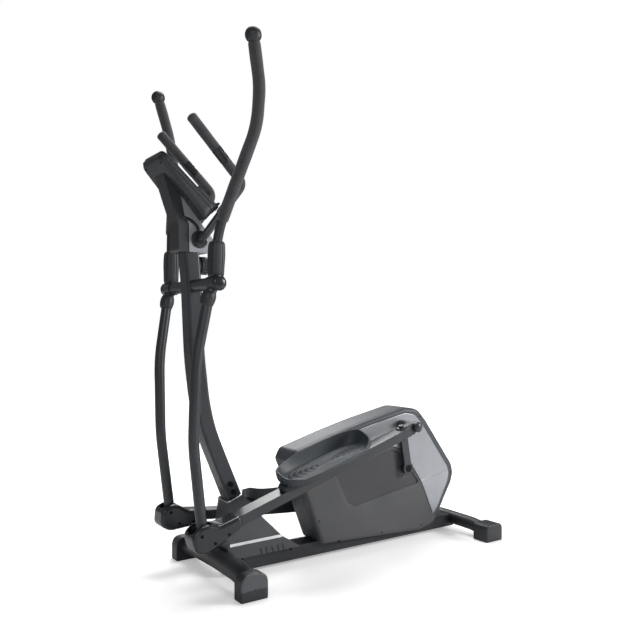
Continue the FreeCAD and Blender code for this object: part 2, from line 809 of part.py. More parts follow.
def make_drive_mount():
    """Crank shell on its post, flywheel forks and the idler's stud, welded to the rail."""
    post = box(crank_x - 24, crank_x + 24, -24, 24, rail_top, crank_z - 10)
    post = post.cut(box(crank_x - 21, crank_x + 21, -21, 21, rail_top - 1, crank_z - 10))
    half = crank_shell_half
    shell = cross_rod(crank_x, crank_z, crank_shell_radius, -half, half)
    mount = post.fuse(shell).cut(cross_rod(crank_x, crank_z, bearing_radius, -half - 1,
                                           half + 1))
    shapes = [mount]
    inner = flywheel_half_width + 4
    for sign in (-1, 1):
        y0, y1 = sorted((sign * inner, sign * (inner + 4)))
        plate = prism(outline([(flywheel_x - 60, rail_top, 1), (flywheel_x + 60, rail_top, 1),
                               (flywheel_x + 20, flywheel_z + 16, 16),
                               (flywheel_x - 20, flywheel_z + 16, 16),
                               (brake_pivot()[0] + 6, brake_pivot()[1] + 12, 6),
                               (brake_pivot()[0] - 14, brake_pivot()[1] + 6, 8),
                               (brake_pivot()[0] - 10, brake_pivot()[1] - 14, 6)]), y0, y1)
        plate = plate.cut(cross_rod(flywheel_x, flywheel_z,
                                    flywheel_shaft_radius + running_gap, y0 - 1, y1 + 1))
        plate = plate.cut(cross_rod(brake_pivot()[0], brake_pivot()[1],
                                    brake_pin_radius + running_gap,
                                    y0 - 1, y1 + 1))
        shapes.append(plate)
    idler_x, idler_z = idler_centre()
    lug = box(idler_x - 10, idler_x + 10, inner, inner + 4, rail_top, idler_z + 12)
    lug = lug.fuse(cross_rod(idler_x, idler_z, 5, inner, pulley_y + 8))
    shapes.append(lug)
    return group(*shapes)


def make_flywheel():
    """Cast wheel with a heavy rim and a thin web."""
    w = flywheel_half_width
    wheel = cross_rod(flywheel_x, flywheel_z, flywheel_radius, -w, w)
    for y0, y1 in ((-w - 1, -5), (5, w + 1)):
        wheel = wheel.cut(cross_ring(flywheel_x, flywheel_z, flywheel_radius - 26, 22, y0, y1))
    return wheel.cut(cross_rod(flywheel_x, flywheel_z, flywheel_shaft_radius, -w - 1, w + 1))


def make_flywheel_shaft():
    """Shaft with the small belt pulley on its end."""
    shaft = cross_rod(flywheel_x, flywheel_z, flywheel_shaft_radius, -flywheel_half_width - 14,
                      pulley_y + pulley_half_width + 3)
    pulley = cross_rod(flywheel_x, flywheel_z, small_pulley_radius,
                       pulley_y - pulley_half_width, pulley_y + pulley_half_width)
    return shaft.fuse(pulley)


def tangent_loop(grow):
    """Outline of the belt round both pulleys, grown by the given distance."""
    big = crank_pulley_radius + grow
    small = small_pulley_radius + grow
    run = crank_x - flywheel_x
    rise = crank_z - flywheel_z
    distance = math.hypot(run, rise)
    heading = math.atan2(rise, run)
    spread = math.acos((small - big) / distance)

    def at(centre_x, centre_z, radius, angle):
        return vec(centre_x + radius * math.cos(angle), 0, centre_z + radius * math.sin(angle))

    up = heading + spread
    down = heading - spread
    big_up = at(crank_x, crank_z, big, up)
    big_down = at(crank_x, crank_z, big, down)
    small_up = at(flywheel_x, flywheel_z, small, up)
    small_down = at(flywheel_x, flywheel_z, small, down)
    big_far = at(crank_x, crank_z, big, heading)
    small_far = at(flywheel_x, flywheel_z, small, heading + math.pi)
    return Part.Wire([Part.Arc(big_up, big_far, big_down).toShape(),
                      Part.LineSegment(big_down, small_down).toShape(),
                      Part.Arc(small_down, small_far, small_up).toShape(),
                      Part.LineSegment(small_up, big_up).toShape()])


def make_drive_belt():
    y0 = pulley_y - pulley_half_width + 1
    y1 = pulley_y + pulley_half_width - 1
    return prism(tangent_loop(belt_gap + belt_thickness), y0, y1).cut(
        prism(tangent_loop(belt_gap), y0 - 1, y1 + 1))


def idler_centre():
    """The idler runs under the belt's lower strand, midway between the pulleys."""
    middle_x = (crank_x + flywheel_x) / 2 - 30
    run = crank_x - flywheel_x
    rise = crank_z - flywheel_z
    distance = math.hypot(run, rise)
    heading = math.atan2(rise, run)
    down = heading - math.acos((small_pulley_radius - crank_pulley_radius) / distance)
    reach = small_pulley_radius + 2 * belt_gap + belt_thickness + idler_radius
    line_x = flywheel_x + reach * math.cos(down)
    line_z = flywheel_z + reach * math.sin(down)
    slope = -math.cos(down) / math.sin(down)
    return (middle_x, line_z + slope * (middle_x - line_x))


def make_idler_wheel():
    x, z = idler_centre()
    return cross_ring(x, z, idler_radius, 5 + running_gap, pulley_y - 6, pulley_y + 6)


def brake_pivot():
    reach = flywheel_radius + brake_gap + magnet_thickness + brake_thickness / 2
    angle = math.radians(200)
    return (flywheel_x + reach * math.cos(angle), flywheel_z + reach * math.sin(angle))


def ring_sector(inner, outer, start, end, y0, y1):
    """Part of a ring round the flywheel, between two angles in degrees."""
    ring = cross_ring(flywheel_x, flywheel_z, outer, inner, y0, y1)
    reach = outer * 3
    corners = [vec(flywheel_x, y0 - 1, flywheel_z)]
    for share in (0, 0.5, 1):
        angle = math.radians(start + (end - start) * share)
        corners.append(vec(flywheel_x + reach * math.cos(angle), y0 - 1,
                           flywheel_z + reach * math.sin(angle)))
    wedge = Part.Face(Part.makePolygon(corners + corners[:1])).extrude(vec(0, y1 - y0 + 2, 0))
    return ring.common(wedge)


def make_brake_bracket():
    """Curved bracket that carries the magnets, with its pivot pin."""
    inner = flywheel_radius + brake_gap + magnet_thickness
    half = flywheel_half_width + 2
    arc = ring_sector(inner, inner + brake_thickness, 112, 203, -half, half)
    pin_x, pin_z = brake_pivot()
    pin = cross_rod(pin_x, pin_z, brake_pin_radius, -half - 6, half + 6)
    shapes = [arc.fuse(pin)]
    for start in (118, 138, 158):
        shapes.append(ring_sector(inner - magnet_thickness, inner, start, start + 14,
                                  -half + 4, half - 4))
    return group(*shapes)


# Drive housing

def housing_outline():
    return outline([(-46, 51, 24), (-123, 248, 60), (-166, 338, 26), (-146, 373, 24),
                    (8, 417, 400), (135, 449, 500), (322, 488, 60), (388, 479, 60),
                    (430, 434, 60), (562, 260, 50), (571, 226, 60), (560, 189, 50),
                    (498, 92, 60), (466, 44, 40), (396, 30, 30)])


def rail_space():
    half = rail_width / 2 + 0.5
    return box(front_x, rear_x, -half, half, floor_gap - 5, rail_top + 0.5)


def make_housing_band():
    """Middle strip that runs round the housing between the two side covers."""
    outer = prism(housing_outline(), -band_half_width, band_half_width)
    inner = prism(inset(housing_outline(), housing_wall), -band_half_width - 1,
                  band_half_width + 1)
    band = outer.cut(inner).cut(rail_space())
    return keep_largest(band)


def side_outline():
    return inset(housing_outline(), side_step)


def recess_outline(grow):
    wire = outline([(5, 282, 6), (61, 174, 10), (86, 160, 12), (392, 207, 12), (314, 310, 20),
                    (295, 332, 20), (255, 342, 20)])
    return wire if grow == 0 else wire.makeOffset2D(grow)


def round_face(block, y, radius):
    """Round the edges of a block's face at this y."""
    edges = [edge for edge in block.Edges
             if abs(edge.BoundBox.YMin - y) < 0.01 and abs(edge.BoundBox.YMax - y) < 0.01]
    return block.makeFillet(radius, edges)


def make_housing_left():
    """Side cover: a shallow dish with a sunk field round the crank."""
    y_face = -housing_half_width
    outer = round_face(prism(side_outline(), y_face, -band_half_width), y_face, shoulder)
    inner = round_face(prism(inset(side_outline(), housing_wall), y_face + housing_wall,
                             -band_half_width + 1), y_face + housing_wall,
                       shoulder - housing_wall)
    dish = outer.cut(inner)
    pad = prism(recess_outline(4), y_face + 1, y_face + recess_depth + housing_wall)
    dish = dish.fuse(pad)
    dish = dish.cut(prism(recess_outline(0), y_face - 1, y_face + recess_depth))
    dish = dish.cut(cross_rod(crank_x, crank_z, axle_hole_radius, y_face - 1,
                              -band_half_width + 1))
    return keep_largest(dish.cut(rail_space()))


def make_silver_panels():
    """Bright inlay that follows the top and rear of each side cover."""
    shape = outline([(-30, 300, 8), (255, 354, 20), (304, 341, 22), (326, 314, 20),
                     (404, 211, 30), (458, 84, 6), (478, 104, 20), (531, 194, 50),
                     (540, 226, 50), (532, 252, 50), (403, 423, 60), (366, 460, 50),
                     (318, 468, 60), (134, 431, 300), (30, 402, 200), (-22, 340, 60)])
    panel = prism(shape, -housing_half_width - panel_thickness, -housing_half_width)
    return group(panel, mirrored(panel))


# Handlebar, covers and console

def bar_points():
    """Half of the fixed handlebar, from the middle plane to the left tip."""
    return [vec(bar_centre[0], 0, bar_centre[1]), vec(bar_centre[0], -56, bar_centre[1]),
            vec(bar_bend[0], -bar_half_span, bar_bend[1]),
            vec(bar_tip[0], -bar_tip_span, bar_tip[1])]


def full_bar_points():
    left = bar_points()
    right = [vec(p.x, -p.y, p.z) for p in reversed(left)]
    return left[::-1][:-1] + right[::-1][1:]


def make_fixed_handlebar():
    points = full_bar_points()
    return sweep_tube(points, bar_bend_radius, bar_radius, bar_wall)


def tip_direction():
    start = vec(bar_bend[0], -bar_half_span, bar_bend[1])
    return (vec(bar_tip[0], -bar_tip_span, bar_tip[1]) - start).normalize()


def make_fixed_grips():
    """Foam sleeves with closed tips on both ends of the fixed handlebar."""
    tip = vec(bar_tip[0], -bar_tip_span, bar_tip[1])
    back = tip - tip_direction() * grip_length
    upper = rod(back, tip + tip_direction() * 4, grip_radius)
    core = sweep_round(full_bar_points(), bar_bend_radius, bar_radius)
    upper = upper.cut(core)
    outer = sweep_round(full_bar_points(), bar_bend_radius, grip_radius)
    sensor_end = back - tip_direction() * sensor_length
    keep = box(-500, -300, -bar_half_span - 40, -70, 1120, 1400)
    lower = outer.cut(core).common(keep)
    blocker = rod(sensor_end, tip + tip_direction() * 40, 60)
    lower = lower.cut(blocker)
    lower = keep_largest(lower)
    return group(upper, lower, mirrored(upper), mirrored(lower))


def make_pulse_sensors():
    """Hand pulse sleeves between the two foam sleeves of each grip."""
    tip = vec(bar_tip[0], -bar_tip_span, bar_tip[1])
    back = tip - tip_direction() * (grip_length + 0.2)
    end = back - tip_direction() * (sensor_length - 0.4)
    ring = rod(end, back, grip_radius + 1).cut(rod(end, back, bar_radius))
    return group(ring, mirrored(ring))


def shroud_outline():
    """Black spine in front of the mast that turns forward under the console."""
    return outline([(-494, 1006, 2), (-550, 1006, 12), (-552, 1092, 60), (-580, 1170, 60),
                    (-602, 1236, 4), (-550, 1236, 4), (-470, 1104, 2), (-466, 1074, 6),
                    (-512, 1060, 4)])


def cover_outline():
    """Silver side covers round the handlebar clamp."""
    return outline([(-518, 1006, 4), (-518, 1090, 10), (-532, 1112, 10), (-549, 1190, 2),
                    (-470, 1120, 10), (-458, 1096, 10), (-444, 1064, 16), (-436, 1040, 20),
                    (-446, 1006, 10)])


def mast_space(gap):
    points = mast_points()
    points[0] = points[0] - mast_lean() * 150
    return sweep_section(points, mast_bend_radius, mast_depth + 2 * gap,
                         mast_width + 2 * gap, mast_corner + gap)


def make_mast_shroud():
    """Front spine and neck between the mast's top and the console."""
    outer = prism(shroud_outline(), -shroud_half_width, shroud_half_width)
    shape = outer.cut(mast_space(0.3))
    shape = shape.cut(prism(cover_outline().makeOffset2D(0.3), -60, 60))
    shape = shape.cut(console_underside())
    return keep_largest(shape)


def console_underside():
    """Everything on the user's side of the console's back face."""
    block = box(-60, console_length + 120, -150, 150, -console_back_top - 0.2, 300)
    slope = math.degrees(math.atan2(console_back_low - console_back_top, console_length))
    wedge = box(-60, console_length + 120, -150, 150, 0, 300)
    wedge.rotate(vec(0, 0, 0), across, slope)
    wedge.translate(vec(0, 0, -console_back_top - 0.2))
    return tilt_console(block.fuse(wedge))


def make_bar_cover_left():
    """One silver half cover with the hole for the handlebar."""
    outer = prism(cover_outline(), -cover_half_width, -0.2)
    inner = prism(inset(cover_outline(), cover_wall), -cover_half_width + cover_wall, 1)
    shell = outer.cut(inner).cut(mast_space(0.3)).cut(console_underside())
    hole = cross_rod(bar_centre[0], bar_centre[1], bar_radius + 6, -60, 0)
    return keep_largest(shell.cut(hole))


def make_bar_grommets():
    """Rubber rings where the handlebar leaves the covers."""
    ring = cross_rod(bar_centre[0], bar_centre[1], 20, -cover_half_width - 5,
                     -cover_half_width).fuse(
        cross_rod(bar_centre[0], bar_centre[1], bar_radius + 5.8, -cover_half_width,
                  -cover_half_width + cover_wall))
    core = sweep_round(full_bar_points(), bar_bend_radius, bar_radius + 0.1)
    ring = keep_largest(ring.cut(core))
    return group(ring, mirrored(ring))


def tilt_console(shape):
    placed = shape.copy()
    placed.rotate(vec(0, 0, 0), across, console_tilt)
    placed.translate(vec(console_x, 0, console_z))
    return placed


def make_console_front():
    """Console bezel with the display window, the button holes and an open back."""
    block = plate_block(console_length, 2 * console_half_width, console_corner,
                        -console_front_depth, 0)
    hollow = plate_block(console_length - 2 * console_wall,
                         2 * (console_half_width - console_wall),
                         console_corner - console_wall, -console_front_depth - 1, -console_wall)
    hollow.translate(vec(console_wall, 0, 0))
    block = block.cut(hollow)
    start, end, width = window
    block = block.cut(box(start, end, -width / 2, width / 2, -console_wall - 1, 1))
    for y in (-button_spread, 0, button_spread):
        hole = Part.makeCylinder(button_radius + button_gap, 20, vec(button_row, y, -10))
        block = block.cut(hole)
    return tilt_console(block)


def make_console_back():
    """Back shell that deepens towards the user's end."""
    section = outline([(3, -console_front_depth - 0.2, 1),
                       (console_length - 3, -console_front_depth - 0.2, 1),
                       (console_length - 1, -console_back_low, 8),
                       (2, -console_back_top, 8)])
    block = prism(section, -console_half_width + 2, console_half_width - 2)
    cavity = prism(inset(section, console_wall), -console_half_width + 2 + console_wall,
                   console_half_width - 2 - console_wall)
    lid = box(3 + console_wall, console_length - 3 - console_wall, -console_half_width + 5,
              console_half_width - 5, -console_front_depth - 4, 0)
    rounding = plate_block(console_length, 2 * console_half_width, console_corner, -200, 0)
    return tilt_console(keep_largest(block.cut(cavity).cut(lid).common(rounding)))


def make_console_lens():
    start, end, width = window
    lens = box(start + 0.3, end - 0.3, -width / 2 + 0.3, width / 2 - 0.3, -console_wall, -0.6)
    return tilt_console(lens)


def make_button(index):
    y = (-button_spread, 0, button_spread)[index]
    cap = Part.makeCylinder(button_radius, 6, vec(button_row, y, -3.6))
    flange = Part.makeCylinder(button_radius + 2, 1.4, vec(button_row, y, -6.2))
    stem = Part.makeCylinder(3, 2.6, vec(button_row, y, -6.2))
    return tilt_console(cap.fuse([flange, stem]))


def make_tablet_ledge():
    """Raised rest with an upturned lip along the console's lower edge."""
    pad = plate_block(console_length - ledge_start, 2 * console_half_width - 4, 12, 0, ledge_height)
    pad.translate(vec(ledge_start, 0, 0))
    lip = box(console_length - 9, console_length - 3, -64, 64, ledge_height, 26)
    groove = box(ledge_start + 12, console_length - 12, -66, 66, 4, ledge_height + 1)
    return tilt_console(pad.fuse(lip).cut(groove).removeSplitter())


# Tension control

def knob_face():
    """X of the mast's rear face at the knob."""
    share = (knob_z - pivot_z) / (mast_top[1] - pivot_z)
    return pivot_x + share * (mast_top[0] - pivot_x) + mast_depth / 2 + 2.5


def make_tension_knob():
    """Turning knob with finger flutes, on an axis along X."""
    base = knob_face() + 6
    knob = Part.makeCylinder(knob_radius, knob_depth, vec(base, 0, knob_z), vec(1, 0, 0))
    for i in range(10):
        angle = math.radians(36 * i)
        y = (knob_radius + 3) * math.cos(angle)
        z = knob_z + (knob_radius + 3) * math.sin(angle)
        flute = Part.makeCylinder(6, knob_depth, vec(base + 6, y, z), vec(1, 0, 0))
        knob = knob.cut(flute)
    return knob


def cable_corner():
    """Where the cable turns down inside the mast, ahead of the swing axle."""
    share = (knob_z - pivot_z) / (mast_top[1] - pivot_z)
    return vec(pivot_x + share * (mast_top[0] - pivot_x) - cable_offset, 0, knob_z)


def cable_hole(x0, x1):
    return box(x0, x1, -8, 8, rail_top - 10, rail_top + 5)


def make_tension_cable():
    """Sheathed cable from the knob down the mast and along the rail to the brake."""
    lean = mast_lean()
    front = vec(-lean.z, 0, lean.x) * cable_offset
    knee_front = vec(-0.96, 0, 0.2) * cable_offset
    middle_front = vec(-0.99, 0, 0.1) * cable_offset
    base = knob_face() + 5
    rail_middle = floor_gap + rail_height / 2
    foot = vec(post_base(), 0, rail_top)
    points = [vec(base, 0, knob_z), cable_corner(),
              vec(pivot_x - cable_offset, 0, pivot_z),
              vec(mast_middle[0], 0, mast_middle[1]) + middle_front,
              vec(mast_knee[0], 0, mast_knee[1]) + knee_front,
              vec(mast_foot[0], 0, mast_foot[1]) + front,
              foot, vec(post_base() + 30, 0, rail_middle),
              vec(cable_exit_x - 30, 0, rail_middle), vec(cable_exit_x, 0, rail_top + 20),
              vec(cable_exit_x - 2, 0, rail_top + 44)]
    return sweep_round(points, 30, cable_radius)


def knob_seat():
    """Round seat of the knob on the mast."""
    start = knob_face() - mast_depth / 2
    return Part.makeCylinder(knob_radius - 4, knob_face() + 4.5 - start, vec(start, 0, knob_z),
                             vec(1, 0, 0))


def build_parts():
    parts = {
        "main_rail": make_main_rail(),
        "front_stabiliser": make_front_stabiliser(),
        "rear_stabiliser": make_rear_stabiliser(),
        "foot_caps": make_foot_caps(),
        "mast_post": make_mast_post(),
        "mast": make_mast(),
        "base_cover_left": make_base_cover_left(),
        "base_cover_right": mirrored(make_base_cover_left()),
        "base_trims": make_base_trims(),
        "frame_bolts": make_frame_bolts(),
        "swing_axle": make_swing_axle(),
        "mast_shroud": make_mast_shroud(),
        "bar_cover_left": make_bar_cover_left(),
        "bar_cover_right": mirrored(make_bar_cover_left()),
        "bar_grommets": make_bar_grommets(),
        "fixed_handlebar": make_fixed_handlebar(),
        "fixed_grips": make_fixed_grips(),
        "pulse_sensors": make_pulse_sensors(),
        "console_front": make_console_front(),
        "console_back": make_console_back(),
        "console_lens": make_console_lens(),
        "tablet_ledge": make_tablet_ledge(),
        "housing_left": make_housing_left(),
        "housing_right": mirrored(make_housing_left()),
        "housing_band": make_housing_band(),
        "silver_panels": make_silver_panels(),
        "drive_mount": make_drive_mount(),
        "crank_bearings": make_crank_bearings(),
        "drive_belt": make_drive_belt(),
        "tension_cable": make_tension_cable(),
        "tension_knob": make_tension_knob(),
        "brake_bracket": make_brake_bracket(),
        "flywheel": make_flywheel(),
        "flywheel_shaft": make_flywheel_shaft(),
        "idler_wheel": make_idler_wheel(),
        "crank_axle": make_crank_axle(),
        "crank_pulley": make_crank_pulley(),
        "crank_left": make_crank(1),
        "crank_right": make_crank(-1),
    }
    for index, name in enumerate(("mode", "set", "reset")):
        parts["button_" + name] = make_button(index)
    swing_makers = {"swing_tube": make_swing_tube, "handlebar": make_handlebar,
                    "handle_grip": make_handle_grip, "handle_end": make_handle_end,
                    "arm_cover": make_arm_cover}
    link_makers = {"link_arm": make_link_arm, "joint_cover": make_joint_cover,
                   "pedal": make_pedal, "rear_hinge": make_rear_hinge}
    for side, word in ((1, "left"), (-1, "right")):
        for name, maker in swing_makers.items():
            parts[name + "_" + word] = pose_swing(maker(), side)
        for name, maker in link_makers.items():
            parts[name + "_" + word] = pose_link(maker(), side)
    return parts


os.makedirs("parts", exist_ok=True)
for node, shape in build_parts().items():
    shape.exportStep("parts/" + node + ".step")
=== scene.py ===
import json
import math

import bmesh
import bpy
import numpy as np
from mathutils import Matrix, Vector


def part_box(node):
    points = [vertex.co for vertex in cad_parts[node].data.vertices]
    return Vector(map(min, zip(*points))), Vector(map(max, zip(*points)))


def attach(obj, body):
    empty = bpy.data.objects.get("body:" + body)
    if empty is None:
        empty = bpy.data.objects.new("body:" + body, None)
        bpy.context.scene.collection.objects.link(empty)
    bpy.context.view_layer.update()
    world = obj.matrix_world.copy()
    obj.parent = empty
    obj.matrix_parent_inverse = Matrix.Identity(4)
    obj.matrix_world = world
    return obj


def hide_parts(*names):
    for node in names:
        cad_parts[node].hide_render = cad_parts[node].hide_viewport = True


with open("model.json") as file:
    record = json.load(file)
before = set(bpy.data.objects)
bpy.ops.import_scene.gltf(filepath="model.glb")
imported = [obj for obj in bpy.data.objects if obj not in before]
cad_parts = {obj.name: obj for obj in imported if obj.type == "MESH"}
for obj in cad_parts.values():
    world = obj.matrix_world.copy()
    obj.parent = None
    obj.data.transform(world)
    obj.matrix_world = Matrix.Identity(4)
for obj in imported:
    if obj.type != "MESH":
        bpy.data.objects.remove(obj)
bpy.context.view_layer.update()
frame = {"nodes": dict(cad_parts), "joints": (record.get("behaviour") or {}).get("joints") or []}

# Elliptical trainer: camera, room and finishes first, then the pieces that stand in for
# plain CAD solids. Lengths are in metres, and outlines and profiles in millimetres.

cadNodes = frame["nodes"]
joints = {joint["name"]: joint for joint in frame["joints"]}
print("frame loaded with", len(cadNodes), "nodes")

# camera and room

viewpoint = {
    "place": (-1.3975, -1.9978, 0.7624),   # from the middle of the footprint
    "azimuth": -34.709,                    # degrees, 0 looks along +Y
    "elevation": -1.017,
    "lens": 39.47,                         # mm, on a 36 mm sensor
}
room = {
    "floorRadius": 9.0,
    "floorRings": 12, "floorSteps": 64, "floorDrop": 0.0004,
    "floorColour": (0.93, 0.93, 0.93, 1),
    "floorGlow": (0.9, 2.6, 0.35, 1.0),   # from and to metres out, glow there
    "wallStrength": 1.0,         # what the camera sees
    "skyStrength": 0.2,          # what lights the object
    "lamps": [   # place, aim, size, watts
        ((3.1, -2.7, 1.9), (0.0, 0.0, 0.6), 1.3, 130),
        ((0.5, 0.9, 3.6), (0.0, 0.0, 0.6), 2.0, 70),
        ((-2.4, -2.9, 2.0), (0.0, 0.0, 0.6), 1.5, 22),
        ((1.2, 3.0, 2.4), (0.0, 0.0, 0.8), 1.5, 45),
    ],
}


def aimAlong(thing, direction):
    thing.rotation_mode = "QUATERNION"
    thing.rotation_quaternion = Vector(direction).to_track_quat("-Z", "Y")


def setCamera():
    around = math.radians(viewpoint["azimuth"])
    above = math.radians(viewpoint["elevation"])
    back = (math.sin(around) * math.cos(above), -math.cos(around) * math.cos(above),
            math.sin(above))
    data = bpy.data.cameras.new("viewCamera")
    data.lens = viewpoint["lens"]
    data.sensor_width = 36
    camera = bpy.data.objects.new("viewCamera", data)
    bpy.context.scene.collection.objects.link(camera)
    camera.location = viewpoint["place"]
    aimAlong(camera, [-value for value in back])
    bpy.context.scene.camera = camera


def addNode(tree, kind, settings=None, **values):
    node = tree.nodes.new(kind)
    for key, value in (settings or {}).items():
        setattr(node, key, value)
    for key, value in values.items():
        node.inputs[key].default_value = value
    return node


# soft lamps, a white wall, and a floor that is a disc of rings about the middle
def setRoom():
    world = bpy.data.worlds.new("paleRoom")
    world.use_nodes = True
    tree = world.node_tree
    sky = tree.nodes["Background"]
    sky.inputs["Color"].default_value = (1, 1, 1, 1)
    sky.inputs["Strength"].default_value = room["skyStrength"]
    wall = tree.nodes.new("ShaderNodeBackground")
    wall.inputs["Color"].default_value = (1, 1, 1, 1)
    wall.inputs["Strength"].default_value = room["wallStrength"]
    seen = tree.nodes.new("ShaderNodeLightPath")
    either = tree.nodes.new("ShaderNodeMixShader")
    tree.links.new(seen.outputs["Is Camera Ray"], either.inputs[0])
    tree.links.new(sky.outputs[0], either.inputs[1])
    tree.links.new(wall.outputs[0], either.inputs[2])
    tree.links.new(either.outputs[0], tree.nodes["World Output"].inputs["Surface"])
    bpy.context.scene.world = world
    bpy.context.scene.view_settings.view_transform = "Standard"
    for index, (spot, aim, size, watts) in enumerate(room["lamps"]):
        data = bpy.data.lights.new("softLamp%d" % index, "AREA")
        data.shape = "DISK"
        data.size = size
        data.energy = watts
        lamp = bpy.data.objects.new("softLamp%d" % index, data)
        bpy.context.scene.collection.objects.link(lamp)
        lamp.location = spot
        aimAlong(lamp, np.subtract(aim, spot))
    rows, steps = room["floorRings"], room["floorSteps"]
    radius = np.linspace(0.01, 1, rows)[:, None] * room["floorRadius"]
    turn = np.linspace(0, 2 * math.pi, steps, endpoint=False)[None, :]
    points = np.stack([radius * np.cos(turn), radius * np.sin(turn),
                       0 * radius + 0 * turn - room["floorDrop"]], -1).reshape(-1, 3)
    row = np.arange(rows - 1)[:, None] * steps
    here = np.arange(steps)[None, :]
    there = (here + 1) % steps
    faces = np.stack([row + here, row + steps + here, row + steps + there, row + there], -1)
    mesh = bpy.data.meshes.new("floor")
    mesh.from_pydata(points.tolist(), [], faces.reshape(-1, 4).tolist() + [here[0].tolist()])
    floor = bpy.data.objects.new("floor", mesh)
    bpy.context.scene.collection.objects.link(floor)
    paint = bpy.data.materials.new("floorPaint")
    paint.use_nodes = True
    shader = paint.node_tree.nodes["Principled BSDF"]
    shader.inputs["Base Color"].default_value = room["floorColour"]
    shader.inputs["Roughness"].default_value = 0.85
    shader.inputs["Emission Color"].default_value = (1, 1, 1, 1)
    where = addNode(paint.node_tree, "ShaderNodeTexCoord")
    away = addNode(paint.node_tree, "ShaderNodeVectorMath", {"operation": "LENGTH"})
    glow = addNode(paint.node_tree, "ShaderNodeMapRange")
    for key, value in zip(("From Min", "From Max", "To Min", "To Max"), room["floorGlow"]):
        glow.inputs[key].default_value = value
    paint.node_tree.links.new(where.outputs["Object"], away.inputs[0])
    paint.node_tree.links.new(away.outputs["Value"], glow.inputs["Value"])
    looked = addNode(paint.node_tree, "ShaderNodeLightPath")
    shown = addNode(paint.node_tree, "ShaderNodeMath", {"operation": "MULTIPLY"})
    paint.node_tree.links.new(glow.outputs["Result"], shown.inputs[0])
    paint.node_tree.links.new(looked.outputs["Is Camera Ray"], shown.inputs[1])
    paint.node_tree.links.new(shown.outputs[0], shader.inputs["Emission Strength"])
    mesh.materials.append(paint)


setCamera()
setRoom()
print("camera and room set")

# finishes


def startFinish(name, **values):
    finish = bpy.data.materials.new(name)
    finish.use_nodes = True
    shader = finish.node_tree.nodes["Principled BSDF"]
    for key, value in values.items():
        shader.inputs[key].default_value = value
    return finish, finish.node_tree, shader


# colour that drifts softly between two tones, and a roughness that drifts with it
def driftTones(tree, shader, dark, light, driftScale, roughLow, roughHigh):
    where = addNode(tree, "ShaderNodeTexCoord")
    drift = addNode(tree, "ShaderNodeTexNoise", Scale=driftScale, Detail=5.0, Roughness=0.55)
    tones = addNode(tree, "ShaderNodeValToRGB")
    tones.color_ramp.elements[0].position = 0.32
    tones.color_ramp.elements[0].color = (*dark, 1)
    tones.color_ramp.elements[1].position = 0.68
    tones.color_ramp.elements[1].color = (*light, 1)
    gloss = addNode(tree, "ShaderNodeMapRange")
    gloss.inputs["To Min"].default_value = roughLow
    gloss.inputs["To Max"].default_value = roughHigh
    tree.links.new(where.outputs["Object"], drift.inputs["Vector"])
    tree.links.new(drift.outputs["Fac"], tones.inputs["Fac"])
    tree.links.new(tones.outputs["Color"], shader.inputs["Base Color"])
    tree.links.new(drift.outputs["Fac"], gloss.inputs["Value"])
    tree.links.new(gloss.outputs["Result"], shader.inputs["Roughness"])
    return where


def raiseGrain(tree, shader, pattern, strength, distance):
    relief = addNode(tree, "ShaderNodeBump", Strength=strength, Distance=distance)
    tree.links.new(pattern, relief.inputs["Height"])
    tree.links.new(relief.outputs["Normal"], shader.inputs["Normal"])


# powder coat: soft orange peel about 2 mm across under finer speckle
def powderCoat(name, dark, light, roughLow, roughHigh, coat):
    finish, tree, shader = startFinish(name, **{"Coat Weight": coat, "Coat Roughness": 0.25})
    where = driftTones(tree, shader, dark, light, 9.0, roughLow, roughHigh)
    peel = addNode(tree, "ShaderNodeTexNoise", Scale=520.0, Detail=2.0)
    tree.links.new(where.outputs["Object"], peel.inputs["Vector"])
    raiseGrain(tree, shader, peel.outputs["Fac"], 0.12, 0.0004)
    return finish


# relief from two patterns on one set of coordinates, added together
def raiseBoth(tree, shader, where, first, second, strength, distance):
    both = addNode(tree, "ShaderNodeMath", {"operation": "ADD"})
    tree.links.new(where.outputs["Object"], first.inputs["Vector"])
    tree.links.new(where.outputs["Object"], second.inputs["Vector"])
    tree.links.new(first.outputs["Distance"], both.inputs[0])
    tree.links.new(second.outputs["Fac"], both.inputs[1])
    raiseGrain(tree, shader, both.outputs["Value"], strength, distance)


# moulded plastic: spark-eroded grain, cells about 1 mm across
def mouldedPlastic(name, dark, light, roughLow, roughHigh, grain, metallic=0.0):
    finish, tree, shader = startFinish(name, Metallic=metallic)
    where = driftTones(tree, shader, dark, light, 6.0, roughLow, roughHigh)
    cells = addNode(tree, "ShaderNodeTexVoronoi", Scale=grain)
    speckle = addNode(tree, "ShaderNodeTexNoise", Scale=grain * 1.7, Detail=3.0)
    raiseBoth(tree, shader, where, cells, speckle, 0.06, 0.0002)
    return finish


# silver paint: fine metal flake in the tone and the relief
def silverPaint(name, dark, light):
    finish, tree, shader = startFinish(name, Metallic=0.45, **{"Coat Weight": 0.25,
                                                               "Coat Roughness": 0.2})
    where = driftTones(tree, shader, dark, light, 4.0, 0.3, 0.42)
    flake = addNode(tree, "ShaderNodeTexNoise", Scale=2600.0, Detail=1.0)
    tree.links.new(where.outputs["Object"], flake.inputs["Vector"])
    raiseGrain(tree, shader, flake.outputs["Fac"], 0.08, 0.0002)
    return finish


# closed-cell foam: small open pores over a slow unevenness, with a dusty edge sheen
def gripFoam(name, dark, light):
    finish, tree, shader = startFinish(name, **{"Sheen Weight": 0.25, "Sheen Roughness": 0.6})
    where = driftTones(tree, shader, dark, light, 30.0, 0.78, 0.95)
    pores = addNode(tree, "ShaderNodeTexVoronoi", Scale=620.0)
    lumps = addNode(tree, "ShaderNodeTexNoise", Scale=160.0, Detail=4.0)
    raiseBoth(tree, shader, where, pores, lumps, 0.35, 0.0005)
    return finish


